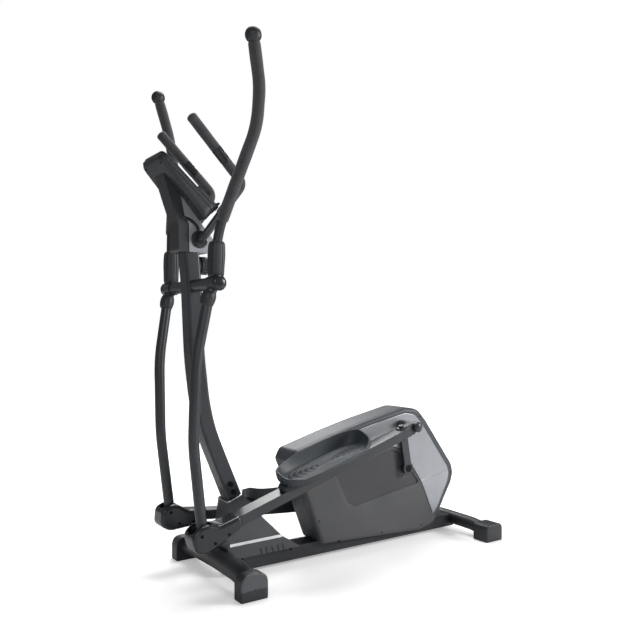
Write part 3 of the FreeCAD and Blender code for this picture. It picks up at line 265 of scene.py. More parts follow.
# machined or plated metal: fine lines round or along the piece
def turnedMetal(name, dark, light, roughLow, roughHigh, stretch):
    finish, tree, shader = startFinish(name, Metallic=1.0)
    where = driftTones(tree, shader, dark, light, 20.0, roughLow, roughHigh)
    longWay = addNode(tree, "ShaderNodeMapping")
    longWay.inputs["Scale"].default_value = stretch
    lines = addNode(tree, "ShaderNodeTexNoise", Scale=900.0, Detail=2.0)
    tree.links.new(where.outputs["Object"], longWay.inputs["Vector"])
    tree.links.new(longWay.outputs["Vector"], lines.inputs["Vector"])
    raiseGrain(tree, shader, lines.outputs["Fac"], 0.08, 0.0002)
    return finish


def rubberSkin(name, dark, light):
    finish, tree, shader = startFinish(name)
    where = driftTones(tree, shader, dark, light, 25.0, 0.6, 0.75)
    grain = addNode(tree, "ShaderNodeTexNoise", Scale=800.0, Detail=3.0)
    tree.links.new(where.outputs["Object"], grain.inputs["Vector"])
    raiseGrain(tree, shader, grain.outputs["Fac"], 0.15, 0.0003)
    return finish


recipes = {
    "tubeBlack": (powderCoat, (0.016, 0.019, 0.024), (0.026, 0.03, 0.037),
                  0.36, 0.5, 0.25),
    "railBlack": (powderCoat, (0.012, 0.013, 0.016), (0.02, 0.022, 0.026),
                  0.42, 0.55, 0.12),
    "capBlack": (mouldedPlastic, (0.016, 0.018, 0.021), (0.028, 0.03, 0.035),
                 0.42, 0.55, 900.0),
    "capGloss": (mouldedPlastic, (0.014, 0.016, 0.019), (0.024, 0.026, 0.03),
                 0.22, 0.3, 1400.0),
    "capFront": (mouldedPlastic, (0.075, 0.08, 0.088), (0.1, 0.106, 0.115),
                 0.34, 0.44, 900.0, 0.15),
    "screwBlack": (turnedMetal, (0.012, 0.012, 0.013), (0.03, 0.03, 0.032),
                   0.4, 0.55, (1.0, 1.0, 1.0)),
    "screwBright": (turnedMetal, (0.34, 0.35, 0.37), (0.5, 0.51, 0.53),
                    0.2, 0.32, (1.0, 1.0, 1.0)),
    "consoleBlack": (mouldedPlastic, (0.018, 0.02, 0.023),
                     (0.028, 0.031, 0.036), 0.4, 0.5, 1200.0),
    "housingGrey": (mouldedPlastic, (0.062, 0.063, 0.066), (0.08, 0.081, 0.085),
                    0.42, 0.52, 1000.0),
    # darker grey for the housing's sunk field: painted shade of the recess
    "recessPaintedShade": (mouldedPlastic, (0.036, 0.036, 0.04), (0.05, 0.05, 0.056),
                   0.4, 0.5, 1000.0),
    # the band's own dark blue-grey, also laid on the side's shoulder round the rear and top as
    # painted shade
    "housingRimAndShade": (mouldedPlastic, (0.04, 0.046, 0.056), (0.056, 0.064, 0.078),
                   0.46, 0.56, 1100.0),
    "coverGrey": (mouldedPlastic, (0.06, 0.062, 0.068), (0.082, 0.085, 0.092),
                  0.4, 0.5, 1000.0, 0.1),
    "silverPaint": (silverPaint, (0.3, 0.31, 0.33), (0.38, 0.39, 0.42)),
    "pedalPlastic": (mouldedPlastic, (0.028, 0.036, 0.043),
                     (0.044, 0.054, 0.063), 0.42, 0.56, 850.0),
    "brightTrim": (turnedMetal, (0.78, 0.79, 0.81), (0.9, 0.91, 0.93),
                   0.1, 0.2, (0.02, 1.0, 1.0)),
    "gripFoam": (gripFoam, (0.03, 0.031, 0.036), (0.046, 0.047, 0.053)),
    "rubberBlack": (rubberSkin, (0.012, 0.012, 0.013), (0.022, 0.022, 0.024)),
    "turnedSteel": (turnedMetal, (0.42, 0.43, 0.45), (0.58, 0.59, 0.61),
                    0.25, 0.38, (1.0, 0.03, 1.0)),
    "castIron": (turnedMetal, (0.14, 0.14, 0.145), (0.22, 0.22, 0.225),
                 0.5, 0.65, (1.0, 1.0, 1.0)),
    "pulleyGrey": (mouldedPlastic, (0.1, 0.1, 0.105), (0.14, 0.14, 0.15),
                   0.45, 0.6, 700.0),
    "lensDark": (mouldedPlastic, (0.01, 0.012, 0.013), (0.016, 0.02, 0.021),
                 0.08, 0.14, 2000.0),
}
finishes = {name: make(name, *values) for name, (make, *values) in recipes.items()}

nodeFinishes = {
    "railBlack": ["main_rail", "front_stabiliser", "rear_stabiliser", "mast_post",
                  "drive_mount"],
    "tubeBlack": ["mast", "swing_tube_left", "swing_tube_right", "handlebar_left",
                  "handlebar_right", "link_arm_left", "link_arm_right", "crank_left",
                  "crank_right", "rear_hinge_left", "rear_hinge_right", "fixed_handlebar"],
    "capBlack": ["foot_caps", "joint_cover_left", "joint_cover_right", "arm_cover_left",
                 "arm_cover_right", "handle_end_left", "handle_end_right", "tension_knob",
                 "pulse_sensors"],
    "consoleBlack": ["console_front", "console_back", "tablet_ledge", "mast_shroud"],
    "coverGrey": ["base_cover_left", "base_cover_right"],
    "housingGrey": ["housing_left", "housing_right"],
    "housingRimAndShade": ["housing_band"],
    "silverPaint": ["silver_panels", "bar_cover_left", "bar_cover_right"],
    "pedalPlastic": ["pedal_left", "pedal_right"],
    "brightTrim": ["base_trims"],
    "screwBlack": ["frame_bolts", "crank_axle"],
    "gripFoam": ["fixed_grips", "handle_grip_left", "handle_grip_right"],
    "rubberBlack": ["bar_grommets", "drive_belt", "tension_cable"],
    "turnedSteel": ["swing_axle", "flywheel_shaft",
                    "crank_bearings", "brake_bracket"],
    "castIron": ["flywheel"],
    "pulleyGrey": ["crank_pulley", "idler_wheel", "button_mode", "button_set",
                   "button_reset"],
    "lensDark": ["console_lens"],
}
for finishName, names in nodeFinishes.items():
    for name in names:
        mesh = cadNodes[name].data
        if not mesh.materials:
            mesh.materials.append(None)
        for index in range(len(mesh.materials)):
            mesh.materials[index] = finishes[finishName]
print("finishes on", sum(len(names) for names in nodeFinishes.values()), "CAD nodes")

# shaping


def ringMesh(name, rings, closeEnds=True, loopRows=False, sharpAngle=35):
    # rings[row, step] are points; each row closes on itself, and poles close the two ends
    rows, around = rings.shape[:2]
    points = rings.reshape(-1, 3)
    starts = np.arange(rows if loopRows else rows - 1)[:, None]
    here = np.arange(around)[None, :]
    there = (here + 1) % around
    low, high = starts * around, ((starts + 1) % rows) * around
    faces = np.stack([low + here, low + there, high + there, high + here], -1)
    faces = faces.reshape(-1, 4).tolist()
    if closeEnds and not loopRows:
        count = len(points)
        points = np.vstack([points, rings[0].mean(0), rings[-1].mean(0)])
        last = (rows - 1) * around
        pole = np.full(around, count)
        faces += np.stack([there[0], here[0], pole], -1).tolist()
        faces += np.stack([last + here[0], last + there[0], pole + 1], -1).tolist()
    mesh = bpy.data.meshes.new(name)
    mesh.from_pydata(points.tolist(), [], faces)
    tidy = bmesh.new()
    tidy.from_mesh(mesh)
    bmesh.ops.recalc_face_normals(tidy, faces=tidy.faces)
    tidy.to_mesh(mesh)
    tidy.free()
    mesh.shade_smooth()
    mesh.set_sharp_from_angle(angle=math.radians(sharpAngle))
    return mesh


def addPiece(name, mesh, finish, body, slotName, *standsFor):
    piece = bpy.data.objects.new(name, mesh)
    mesh.materials.append(finishes[finish])
    bpy.context.scene.collection.objects.link(piece)
    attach(piece, body)
    if standsFor:
        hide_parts(*standsFor)
    return piece


def easeStep(low, high, value):
    # 0 below low, 1 above high, smooth between
    share = np.clip((value - low) / (high - low), 0, 1)
    return share * share * (3 - 2 * share)


def millimetres(*values):
    return np.array(values, float) / 1000


def cornerCurves(spots, wayIn, wayOut, setback, steps):
    # each corner is a quadratic curve from tangent to tangent
    share = np.linspace(0, 1, steps)[None, :, None]
    first = (spots - wayIn * setback[:, None])[:, None]
    final = (spots + wayOut * setback[:, None])[:, None]
    return (first * (1 - share) ** 2 + 2 * spots[:, None] * share * (1 - share)
            + final * share ** 2).reshape(-1, spots.shape[1])


def runAlong(line):
    # length of the line up to each of its points
    return np.concatenate([[0], np.cumsum(np.linalg.norm(np.diff(line, axis=0), axis=1))])


def resampled(line, run, places):
    return np.stack([np.interp(places, run, column) for column in line.T], -1)


def unitWays(line):
    way = np.gradient(line, axis=0)
    return way / np.linalg.norm(way, axis=1)[:, None]


def roundedOutline(corners, spacing=0.0012):
    # closed outline in metres through (across, up, radius) corners in mm, each rounded by a
    # curve tangent to both sides
    spots = np.array([corner[:2] for corner in corners], float) / 1000
    radii = np.array([corner[2] for corner in corners], float) / 1000
    before, after = np.roll(spots, 1, 0), np.roll(spots, -1, 0)
    reachIn = np.linalg.norm(spots - before, axis=1)
    reachOut = np.linalg.norm(after - spots, axis=1)
    wayIn = (spots - before) / reachIn[:, None]
    wayOut = (after - spots) / reachOut[:, None]
    halfTurn = np.arccos(np.clip((wayIn * wayOut).sum(1), -1, 1)) / 2
    setback = np.minimum(radii * np.tan(halfTurn), 0.49 * np.minimum(reachIn, reachOut))
    loop = cornerCurves(spots, wayIn, wayOut, setback, 17)
    loop = np.vstack([loop, loop[:1]])
    run = runAlong(loop)
    return resampled(loop, run, np.arange(0, run[-1], spacing))


def rayLengths(outline, centre, rays):
    # distance from the centre to the outline along each ray
    offset = outline - np.array(centre)
    angle = np.arctan2(offset[:, 1], offset[:, 0])
    order = np.argsort(angle)
    return np.interp(rays, angle[order], np.hypot(*offset.T)[order], period=2 * math.pi)


def rayPoints(centre, rays, lengths, depths, side):
    # rings in upright planes: lengths along the rays, depths away from the middle plane
    rings = np.empty(lengths.shape + (3,))
    rings[..., 0] = centre[0] + lengths * np.cos(rays)
    rings[..., 1] = side * np.broadcast_to(depths, lengths.shape)
    rings[..., 2] = centre[1] + lengths * np.sin(rays)
    return rings


def bentRun(points, bend, spacing=0.004):
    # straight runs through the points, with each corner rounded by a tangent curve
    spots = np.array(points, float)
    reach = np.linalg.norm(np.diff(spots, axis=0), axis=1)
    ways = np.diff(spots, axis=0) / reach[:, None]
    halfTurn = np.arccos(np.clip((ways[:-1] * ways[1:]).sum(1), -1, 1)) / 2
    setback = np.minimum(bend * np.tan(halfTurn), 0.45 * np.minimum(reach[:-1], reach[1:]))
    curves = cornerCurves(spots[1:-1], ways[:-1], ways[1:], setback, 25)
    line = np.vstack([spots[:1], curves, spots[-1:]])
    run = runAlong(line)
    places = np.linspace(0, run[-1], int(run[-1] / spacing))
    return resampled(line, run, places), places


def roundAlong(line, radii, reference, around=40):
    # circle of the given radius at each point of the line, square to its direction
    way = unitWays(line)
    first = np.cross(way, np.array(reference, float))
    first /= np.linalg.norm(first, axis=1)[:, None]
    second = np.cross(way, first)
    turn = np.linspace(0, 2 * math.pi, around, endpoint=False)
    return (line[:, None] + radii[:, None, None]
            * (np.cos(turn)[None, :, None] * first[:, None]
               + np.sin(turn)[None, :, None] * second[:, None]))


def turned(centre, axis, profile, around=48):
    # profile rows are (distance along the axis, radius), turned about it
    axis = np.array(axis, float) / np.linalg.norm(axis)
    helper = (0, 0, 1) if abs(axis[2]) < 0.9 else (1, 0, 0)
    first = np.cross(axis, helper)
    first /= np.linalg.norm(first)
    second = np.cross(axis, first)
    turn = np.linspace(0, 2 * math.pi, around, endpoint=False)
    spots = np.array(profile, float) / 1000
    circle = np.cos(turn)[:, None] * first + np.sin(turn)[:, None] * second
    return (np.array(centre, float) + spots[:, :1, None] * axis
            + spots[:, 1:, None] * circle[None])


def smoothProfile(profile, count=40):
    # the profile's corners eased by a Catmull-Rom curve through its rows
    rows = np.array(profile, float)
    padded = np.vstack([2 * rows[0] - rows[1], rows, 2 * rows[-1] - rows[-2]])
    place = np.linspace(0, len(rows) - 1.0001, count)
    k = place.astype(int)
    t = (place - k)[:, None]
    a, b, c, d = (padded[k + i] for i in range(4))
    return 0.5 * (2 * b + (c - a) * t + (2 * a - 5 * b + 4 * c - d) * t ** 2
                  + (3 * b - a - 3 * c + d) * t ** 3)


# places of the two linkages at rest, from the joints and the cranks' boxes
pivotSpot = np.array(joints["swing_left_pivot"]["pos_m"])
sides = {"left": -1, "right": 1}
crankEnd = 0.016   # radius of the crank's round end


def armFrame(word):
    # origin at the arm's pivot, third axis up the straight line from the lower joint
    low = np.array(joints["pedal_%s_pivot" % word]["pos_m"])
    up = np.array([pivotSpot[0] - low[0], pivotSpot[2] - low[2]])
    up /= np.linalg.norm(up)
    return (pivotSpot[0], pivotSpot[2]), (up[1], -up[0]), up


def pedalFrame(word):
    # origin at the lower joint, first axis along the arm to the crank pin
    low = np.array(joints["pedal_%s_pivot" % word]["pos_m"])
    least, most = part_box("crank_" + word)
    if word == "left":
        pin = (least[0] + crankEnd, most[2] - crankEnd)
    else:
        pin = (most[0] - crankEnd, least[2] + crankEnd)
    along = np.array([pin[0] - low[0], pin[1] - low[2]])
    along /= np.linalg.norm(along)
    return (low[0], low[2]), along, (-along[1], along[0])


def intoPlace(points, setting, word):
    # local (along, outward, up) points into the row frame
    origin, along, up = setting
    placed = np.empty(points.shape)
    placed[..., 0] = origin[0] + points[..., 0] * along[0] + points[..., 2] * up[0]
    placed[..., 1] = sides[word] * points[..., 1]
    placed[..., 2] = origin[1] + points[..., 0] * along[1] + points[..., 2] * up[1]
    return placed


print("shaping functions ready")

# pedals

pedal = {
    "along": (0.281, 0.625),     # toe and heel, from the lower joint
    "outward": (0.086, 0.234),   # inner and outer side, from the middle plane
    "under": 0.0335, "floor": 0.041, "rim": 0.0825, "toeRim": 0.0745, "lowRim": 0.0455,
    "squareness": 3.1,           # power of the rounded outline
    "ribs": 7, "ribHeight": 0.0019,
    "toeRibs": 46, "toeRibDepth": 0.0055,
    "mountAlong": (0.276, 0.575), "mountMiddle": 0.15,
    "mountHalf": 0.044,          # half width of the block under the tray
    "floorTo": 0.82,             # share of the way out where the floor meets the wall
}


# A tray on an oval grid: the share of the way out from the middle is one parameter and the
# angle round it the other. Height is the ribbed floor, then a smooth wall up to a rim whose
# height changes round the tray, then down the outside and back under.
def makePedal(word):
    turn = np.linspace(0, 2 * math.pi, 224, endpoint=False)[None, :]
    power = 2 / pedal["squareness"]
    longWay = np.sign(np.cos(turn)) * np.abs(np.cos(turn)) ** power
    wideWay = np.sign(np.sin(turn)) * np.abs(np.sin(turn)) ** power
    lowSide = (easeStep(-0.45, 0.5, wideWay)
               * (1 - 0.45 * easeStep(0.72, 1, np.abs(longWay))))
    rim = pedal["rim"] - (pedal["rim"] - pedal["toeRim"]) * easeStep(0.2, 0.95, -longWay)
    rim = rim * (1 - lowSide) + pedal["lowRim"] * lowSide
    floorShare = np.linspace(0.02, pedal["floorTo"], 84)[:, None]
    ribs = np.abs(np.sin(floorShare / pedal["floorTo"] * math.pi * pedal["ribs"])) ** 3
    ribs = ribs * easeStep(0.08, 0.2, floorShare) * pedal["ribHeight"]
    floorHigh = pedal["floor"] + ribs + 0 * turn
    climb = np.linspace(0.04, 1, 18)[:, None]
    wallShare = pedal["floorTo"] + 0.14 * climb ** 0.75
    wallHigh = pedal["floor"] + (rim - pedal["floor"]) * climb ** 1.5
    bead = np.linspace(0, math.pi, 9)[1:, None]
    beadShare = 0.98 - 0.02 * np.cos(bead)
    beadHigh = rim + 0.0022 * np.sin(bead)
    drop = np.linspace(0.06, 1, 14)[:, None]
    toe = easeStep(0.35, 0.8, -longWay)
    toeRibs = np.sin(turn * pedal["toeRibs"]) * toe * np.sin(drop * math.pi)
    outShare = 1.0 - 0.012 * drop ** 2 - 0.05 * drop ** 6 + pedal["toeRibDepth"] * toeRibs
    outHigh = rim + (pedal["under"] - rim) * drop
    underShare = np.linspace(0.9, 0.03, 8)[:, None]
    shares = [part + 0 * turn for part in
              (floorShare, wallShare, beadShare, outShare, underShare)]
    heights = [floorHigh, wallHigh, beadHigh, outHigh, pedal["under"] + 0 * underShare
               + 0 * turn]
    share, high = np.vstack(shares), np.vstack(heights)
    halfLong = (pedal["along"][1] - pedal["along"][0]) / 2
    halfWide = (pedal["outward"][1] - pedal["outward"][0]) / 2
    narrower = 1 - 0.07 * easeStep(0.1, 1, longWay)   # the heel is a little narrower
    points = np.stack([sum(pedal["along"]) / 2 + halfLong * longWay * share,
                       sum(pedal["outward"]) / 2 + halfWide * wideWay * share * narrower,
                       high], -1)
    mesh = ringMesh("pedalTray_" + word, intoPlace(points, pedalFrame(word), word))
    addPiece("pedalTray_" + word, mesh, "pedalPlastic", "pedal_" + word, "pedal_plastic",
             "pedal_" + word)
    # the mount between tray and arm: a rounded block drawn in at the foot
    least, most = pedal["mountAlong"]
    share = np.array([0.2, 0.9, 0.98, 1.0, 1.0, 0.97, 0.9, 0.2])[:, None]
    high = np.array([15.2, 15.2, 15.8, 17.5, 30.0, 34.0, 36.0, 36.0])[:, None] / 1000
    block = np.stack([(least + most) / 2 + (most - least) / 2 * longWay * share,
                      pedal["mountMiddle"] + pedal["mountHalf"] * wideWay * share,
                      high + 0 * turn], -1)
    mesh = ringMesh("pedalMount_" + word, intoPlace(block, pedalFrame(word), word))
    addPiece("pedalMount_" + word, mesh, "capBlack", "pedal_" + word, "black_plastic")


for word in sides:
    makePedal(word)
print("pedals made")

# handles: foam, ball ends, clamp covers and pivot caps

handle = {
    "route": [(0, 159, 25), (2, 168, 151), (56, 282, 443), (47, 306, 547), (13, 322, 676)],
    "bend": 0.3,
    "foamFrom": 0.176,      # lower end above the pivot
    "foamRadius": 0.0176,
    "endRound": 0.006,
    "ballRadius": 0.0233,
}


def handleLine(word):
    route = np.array(handle["route"], float) / 1000
    line, run = bentRun(route, handle["bend"])
    return line, run


# the foam sleeve: radius is constant with rounded ends and a slow unevenness of 0.2 mm
def makeHandleFoam(word):
    line, run = handleLine(word)
    keep = (line[:, 2] > handle["foamFrom"]) & (line[:, 2] < handle["route"][-1][2] / 1000
                                                - 0.012)
    line, run = line[keep], run[keep] - run[keep][0]
    fromEnd = np.minimum(run, run[-1] - run)
    lip = np.clip(1 - fromEnd / handle["endRound"], 0, 1)
    radii = handle["foamRadius"] - 0.0030 * lip ** 2 + 0.0002 * np.sin(run * 70)
    rings = roundAlong(line, radii, (1, 0, 0))
    mesh = ringMesh("handleFoam_" + word, intoPlace(rings, armFrame(word), word))
    piece = addPiece("handleFoam_" + word, mesh, "gripFoam", "swing_" + word, "foam",
                     "handle_grip_" + word)


# ball end: a circle turned about the handle's last run, with a parting line round it
def makeBallEnd(word):
    line, run = handleLine(word)
    axis = line[-1] - line[-2]
    turn = np.linspace(0.06, math.pi - 0.06, 33)
    radius = handle["ballRadius"] * 1000
    seam = 1 - 0.018 * np.exp(-((turn - math.pi / 2) / 0.035) ** 2)
    profile = np.stack([-radius * np.cos(turn), radius * np.sin(turn) * seam], -1)
    rings = turned(line[-1], axis, profile)
    mesh = ringMesh("ballEnd_" + word, intoPlace(rings, armFrame(word), word))
    addPiece("ballEnd_" + word, mesh, "capBlack", "swing_" + word, "black_plastic",
             "handle_end_" + word)


clamp = {"from": 0.018, "to": 0.121, "halfLong": 0.0222, "halfWide": 0.0222,
         "outward": 0.1625}


# clamshell: a squarish ring carried up the handle's foot, drawn in at both ends, with a
# groove where its halves meet
def makeClampCover(word):
    turn = np.linspace(0, 2 * math.pi, 120, endpoint=False)[None, :]
    high = smoothProfile([(0, 0.75), (0.02, 0.88), (0.08, 0.97), (0.3, 1.0), (0.6, 1.04),
                          (0.86, 1.0), (0.96, 0.92), (1, 0.78)], 40)
    rise = clamp["from"] + (clamp["to"] - clamp["from"]) * high[:, :1]
    scale = high[:, 1:]
    squarish = lambda value: np.sign(value) * np.abs(value) ** 0.62
    groove = 1 - 0.05 * np.exp(-((np.cos(turn) - 0.2) / 0.05) ** 2)
    points = np.stack([0.002 + clamp["halfLong"] * scale * squarish(np.cos(turn)) * groove,
                       clamp["outward"] + clamp["halfWide"] * scale
                       * squarish(np.sin(turn)) * groove, rise + 0 * turn], -1)
    mesh = ringMesh("clampCover_" + word, intoPlace(points, armFrame(word), word))
    addPiece("clampCover_" + word, mesh, "capBlack", "swing_" + word, "black_plastic",
             "arm_cover_" + word)


pivotCap = {"face": (0, 0.189, 0), "collar": (-0.013, 0.1535, -0.036),
            "collarAxis": (0.25, 0.1, 1)}


# pivot cap: shallow dome with a raised rim, and the ball-shaped collar under the sleeve
def makePivotCap(word):
    dome = smoothProfile([(-3, 20.0), (0.5, 22.4), (3, 22.4), (5, 20.6), (8.5, 16.5),
                          (10.6, 10), (11.2, 1)], 36)
    rings = turned(pivotCap["face"], (0, 1, 0), dome)
    mesh = ringMesh("pivotCap_" + word, intoPlace(rings, armFrame(word), word))
    addPiece("pivotCap_" + word, mesh, "capGloss", "swing_" + word, "black_plastic")
    collar = smoothProfile([(-30, 16.5), (-27, 19), (-16, 21.5), (-4, 22), (8, 19.5),
                            (12, 17)], 30)
    rings = turned(pivotCap["collar"], pivotCap["collarAxis"], collar)
    mesh = ringMesh("pivotCollar_" + word, intoPlace(rings, armFrame(word), word))
    addPiece("pivotCollar_" + word, mesh, "capBlack", "swing_" + word, "black_plastic")


for word in sides:
    makeHandleFoam(word)
    makeBallEnd(word)
    makeClampCover(word)
    makePivotCap(word)
print("handles made")

# drive housing sides and their silver inlays

housing = {
    "centre": (0.3222, 0.269),     # the crank axle
    "outline": [(-46, 51, 24), (-123, 248, 60), (-166, 338, 26), (-146, 373, 24),
                (8, 417, 400), (135, 449, 500), (322, 488, 60), (388, 479, 60),
                (430, 434, 60), (562, 260, 50), (571, 226, 60), (560, 189, 50),
                (498, 92, 60), (466, 44, 40), (396, 30, 30)],
    "recess": [(5, 282, 6), (61, 174, 10), (86, 160, 12), (392, 207, 12), (314, 310, 20),
               (295, 332, 20), (255, 342, 20)],
    "stepIn": 0.0008, "shoulder": 0.0125,
    "rimShadeAngles": (-53, 172),       # where the edge takes the darker rim tone, degrees: painted shade on the shoulder round the rear and top
    "face": 0.0622, "rimDepth": 0.0422,
    "rimWide": 0.0235, "recessDepth": 0.0044, "hole": 0.0163, "wall": 0.0028,
    "screws": [(-60, 132), (24, 51), (211, 51), (398, 50), (553, 227), (396, 450)],
}
inlay = {
    "inner": [(-30, 300, 8), (255, 354, 20), (304, 341, 22), (326, 314, 20),
              (398, 213, 16), (412, 186, 20), (458, 84, 6)],
    "outer": [(-24, 340, 60), (30, 402, 200), (134, 431, 300), (318, 468, 60),
              (366, 460, 50), (403, 423, 60), (532, 252, 50), (540, 226, 50),
              (531, 194, 50), (480, 106, 20), (460, 82, 4)],
    "seams": ((396, 211), (524, 245)),
    "high": 0.0023, "edge": 0.0018,
    "count": 420,                  # rulings along the strip
}


def insideOutline(points, distance):
    # the outline moved square to itself, inwards for a positive distance
    way = np.roll(points, -2, 0) - np.roll(points, 2, 0)
    way /= np.linalg.norm(way, axis=1)[:, None]
    area = (points[:, 0] * np.roll(points[:, 1], -1)
            - points[:, 1] * np.roll(points[:, 0], -1)).sum()
    inward = np.stack([-way[:, 1], way[:, 0]], -1) * np.sign(area)
    return points + inward * distance


# A dish on rays from the crank axle: each row is an outline moved in or out and a distance
# from the middle plane, so the rows give the sunk field, its lip, the face, the rounded
# shoulder and the thin wall behind them.
def makeHousingSide(word):
    rays = np.linspace(-math.pi, math.pi, 720, endpoint=False)
    centre = housing["centre"]
    edge = insideOutline(roundedOutline(housing["outline"]), housing["stepIn"])
    field = roundedOutline(housing["recess"])
    reach = lambda points, distance: rayLengths(insideOutline(points, distance), centre, rays)
    face, sunk = housing["face"], housing["face"] - housing["recessDepth"]
    hole = np.full(len(rays), housing["hole"])
    rows = [(hole, sunk - housing["wall"]), (hole, sunk - 0.0005), (hole + 0.0005, sunk)]
    lip = reach(field, 0.0022)
    for share in np.linspace(0.2, 1, 6):
        rows.append((hole + (np.maximum(lip, hole + 0.0008) - hole) * share, sunk))
    for inward, depth in ((0.0016, sunk + 0.0001), (0.0011, sunk + 0.0006),
                          (0.0008, face - 0.0008), (0.0004, face - 0.0002), (-0.0003, face)):
        rows.append((np.maximum(reach(field, inward), hole + 0.001), depth))
    start, stop = rows[-1][0], reach(edge, housing["rimWide"])
    for share in np.linspace(0.12, 1, 9):
        rows.append((start + (stop - start) * share, face))
    rimRow = len(rows) - 1
    rows.append((reach(edge, housing["shoulder"]), face))
    for bend in np.linspace(0.12, 1, 12) * math.pi / 2:
        rows.append((reach(edge, housing["shoulder"] * (1 - math.sin(bend))),
                     face - housing["shoulder"] * (1 - math.cos(bend))))
    rows.append((reach(edge, 0), housing["rimDepth"]))
    rows.append((reach(edge, housing["wall"]), housing["rimDepth"]))
    inner = face - housing["shoulder"]
    rows.append((reach(edge, housing["wall"]), inner))
    rows.append((reach(edge, housing["shoulder"]), face - housing["wall"]))
    rows.append((np.maximum(reach(field, -0.006), hole + 0.002), face - housing["wall"]))
    rows.append((np.maximum(reach(field, -0.004), hole + 0.0015), sunk - housing["wall"]))
    lengths = np.array([row[0] for row in rows])
    depths = np.array([row[1] for row in rows])[:, None]
    rings = rayPoints(centre, rays[None, :], lengths, depths, sides[word])
    mesh = ringMesh("housingSide_" + word, rings, loopRows=True, sharpAngle=40)
    addPiece("housingSide_" + word, mesh, "housingGrey", "frame", "grey_plastic",
             "housing_" + word)
    # the sunk field takes a darker grey, painted shade of the recess, and the outer rim takes
    # the rim tone, which round the rear and top is partly painted shade
    mesh.materials.append(finishes["recessPaintedShade"])
    mesh.materials.append(finishes["housingRimAndShade"])
    row = np.repeat(np.arange(len(rows)), len(rays))
    turn = np.degrees(np.tile(rays, len(rows)))
    # shoulder rows round the rear and top take the band's blue-grey, painted shade there; the
    # lower front keeps the housing grey
    onShadedRim = (row >= rimRow) & (row < len(rows) - 6)
    onShadedRim &= (turn > housing["rimShadeAngles"][0]) & (turn < housing["rimShadeAngles"][1])
    index = np.where(onShadedRim, 2, np.where((row >= 2) & (row < 9), 1, 0))
    mesh.polygons.foreach_set("material_index", index[:len(mesh.polygons)].astype("i"))


def openLine(corners, count):
    # rounded polyline through (across, up, radius) corners, evenly resampled
    spots = [(*corner[:2], 0) for corner in corners]
    line, _ = bentRun(np.array(spots, float) / 1000, 0.03, 0.0008)
    places = np.linspace(0, len(line) - 1, count)
    return resampled(line[:, :2], np.arange(len(line)), places)


# The inlay is ruled between its inner and outer edges: one parameter runs along it and the
# other across, while the height falls away in a small curve at both edges.
def makeInlay(word):
    count, columns = inlay["count"], 12
    inner, outer = openLine(inlay["inner"], count), openLine(inlay["outer"], count)
    # each inner point is matched to a near outer one, so the rulings stay square to the strip
    gap = np.linalg.norm(inner[:, None] - outer[None, :], axis=2)
    even = np.linspace(0, 1, count)
    gap += 0.35 * np.abs(even[:, None] - even[None, :])
    match = np.maximum.accumulate(gap.argmin(1))
    match = np.convolve(np.pad(match, 20, "edge"), np.ones(41) / 41, "valid")
    match = np.clip(match, 0, count - 1)
    match[0], match[-1] = 0, count - 1
    place = np.arange(count)
    far = resampled(outer, place, match)
    width = np.linalg.norm(far - inner, axis=1)[:, None]
    drop = inlay["edge"]
    steps = np.array([0, 0, 0.15, 0.45, 1, 0.33, 0.67, 1, 0.45, 0.15, 0, 0])
    rise = np.array([0, 0.45, 0.8, 0.96, 1, 1, 1, 1, 0.96, 0.8, 0.45, 0])
    share = np.empty((count, columns))
    share[:, :5] = steps[:5] * drop / np.maximum(width, 0.004)
    share[:, 7:] = 1 - steps[7:] * drop / np.maximum(width, 0.004)
    share[:, 5:7] = share[:, 4:5] + (share[:, 7:8] - share[:, 4:5]) * steps[5:7]
    flat = inner[:, None] + (far - inner)[:, None] * share[..., None]
    start, stop = millimetres(*inlay["seams"][0]), millimetres(*inlay["seams"][1])
    along = (stop - start) / np.linalg.norm(stop - start)
    beside = np.abs((flat - start) @ np.array([-along[1], along[0]]))
    onward = (flat - start) @ along
    groove = np.exp(-(beside / 0.0011) ** 2) * ((onward > -0.03) & (onward < 0.2))
    high = inlay["high"] * rise[None, :] * (1 - 0.55 * groove)
    ends = np.minimum(place, count - 1 - place)[:, None]
    high = high * easeStep(-1, 3, ends)
    rings = np.empty((count, 2 * columns, 3))
    rings[:, :columns, 0], rings[:, :columns, 2] = flat[..., 0], flat[..., 1]
    rings[:, :columns, 1] = sides[word] * (housing["face"] - 0.0002 + high)
    rings[:, columns:] = rings[:, columns - 1::-1]
    rings[:, columns:, 1] = sides[word] * (housing["face"] - 0.0008)
    mesh = ringMesh("silverInlay_" + word, rings, sharpAngle=50)
    addPiece("silverInlay_" + word, mesh, "silverPaint", "frame", "silver_plastic",
             "silver_panels")


# a low bead: half an ellipse carried along a line on an upright face that stands off the
# middle plane, with its foot sunk in the face and both ends drawn in
def halfBead(word, line, stand, sunk, halfWide, high, steps, taperOver, narrowest):
    way = unitWays(line)
    turn = np.linspace(0, math.pi, steps)[None, :]
    place = np.arange(len(line))
    taper = easeStep(*taperOver, np.minimum(place, len(line) - 1 - place))[:, None]
    wide = halfWide * np.cos(turn) * (narrowest + (1 - narrowest) * taper)
    rings = np.empty((len(line), steps, 3))
    rings[..., 0] = line[:, :1] - way[:, 1:] * wide
    rings[..., 1] = sides[word] * (stand - sunk + (high + sunk) * np.sin(turn) * taper)
    rings[..., 2] = line[:, 1:] + way[:, :1] * wide
    return rings


def makeBead(name, corners, halfWide, high, finish, slotName):
    for word in sides:
        rings = halfBead(word, openLine(corners, 300), housing["face"], 0.0006, halfWide,
                         high, 9, (-2, 5), 0.3)
        addPiece(name + "_" + word, ringMesh(name + "_" + word, rings), finish, "frame",
                 slotName)


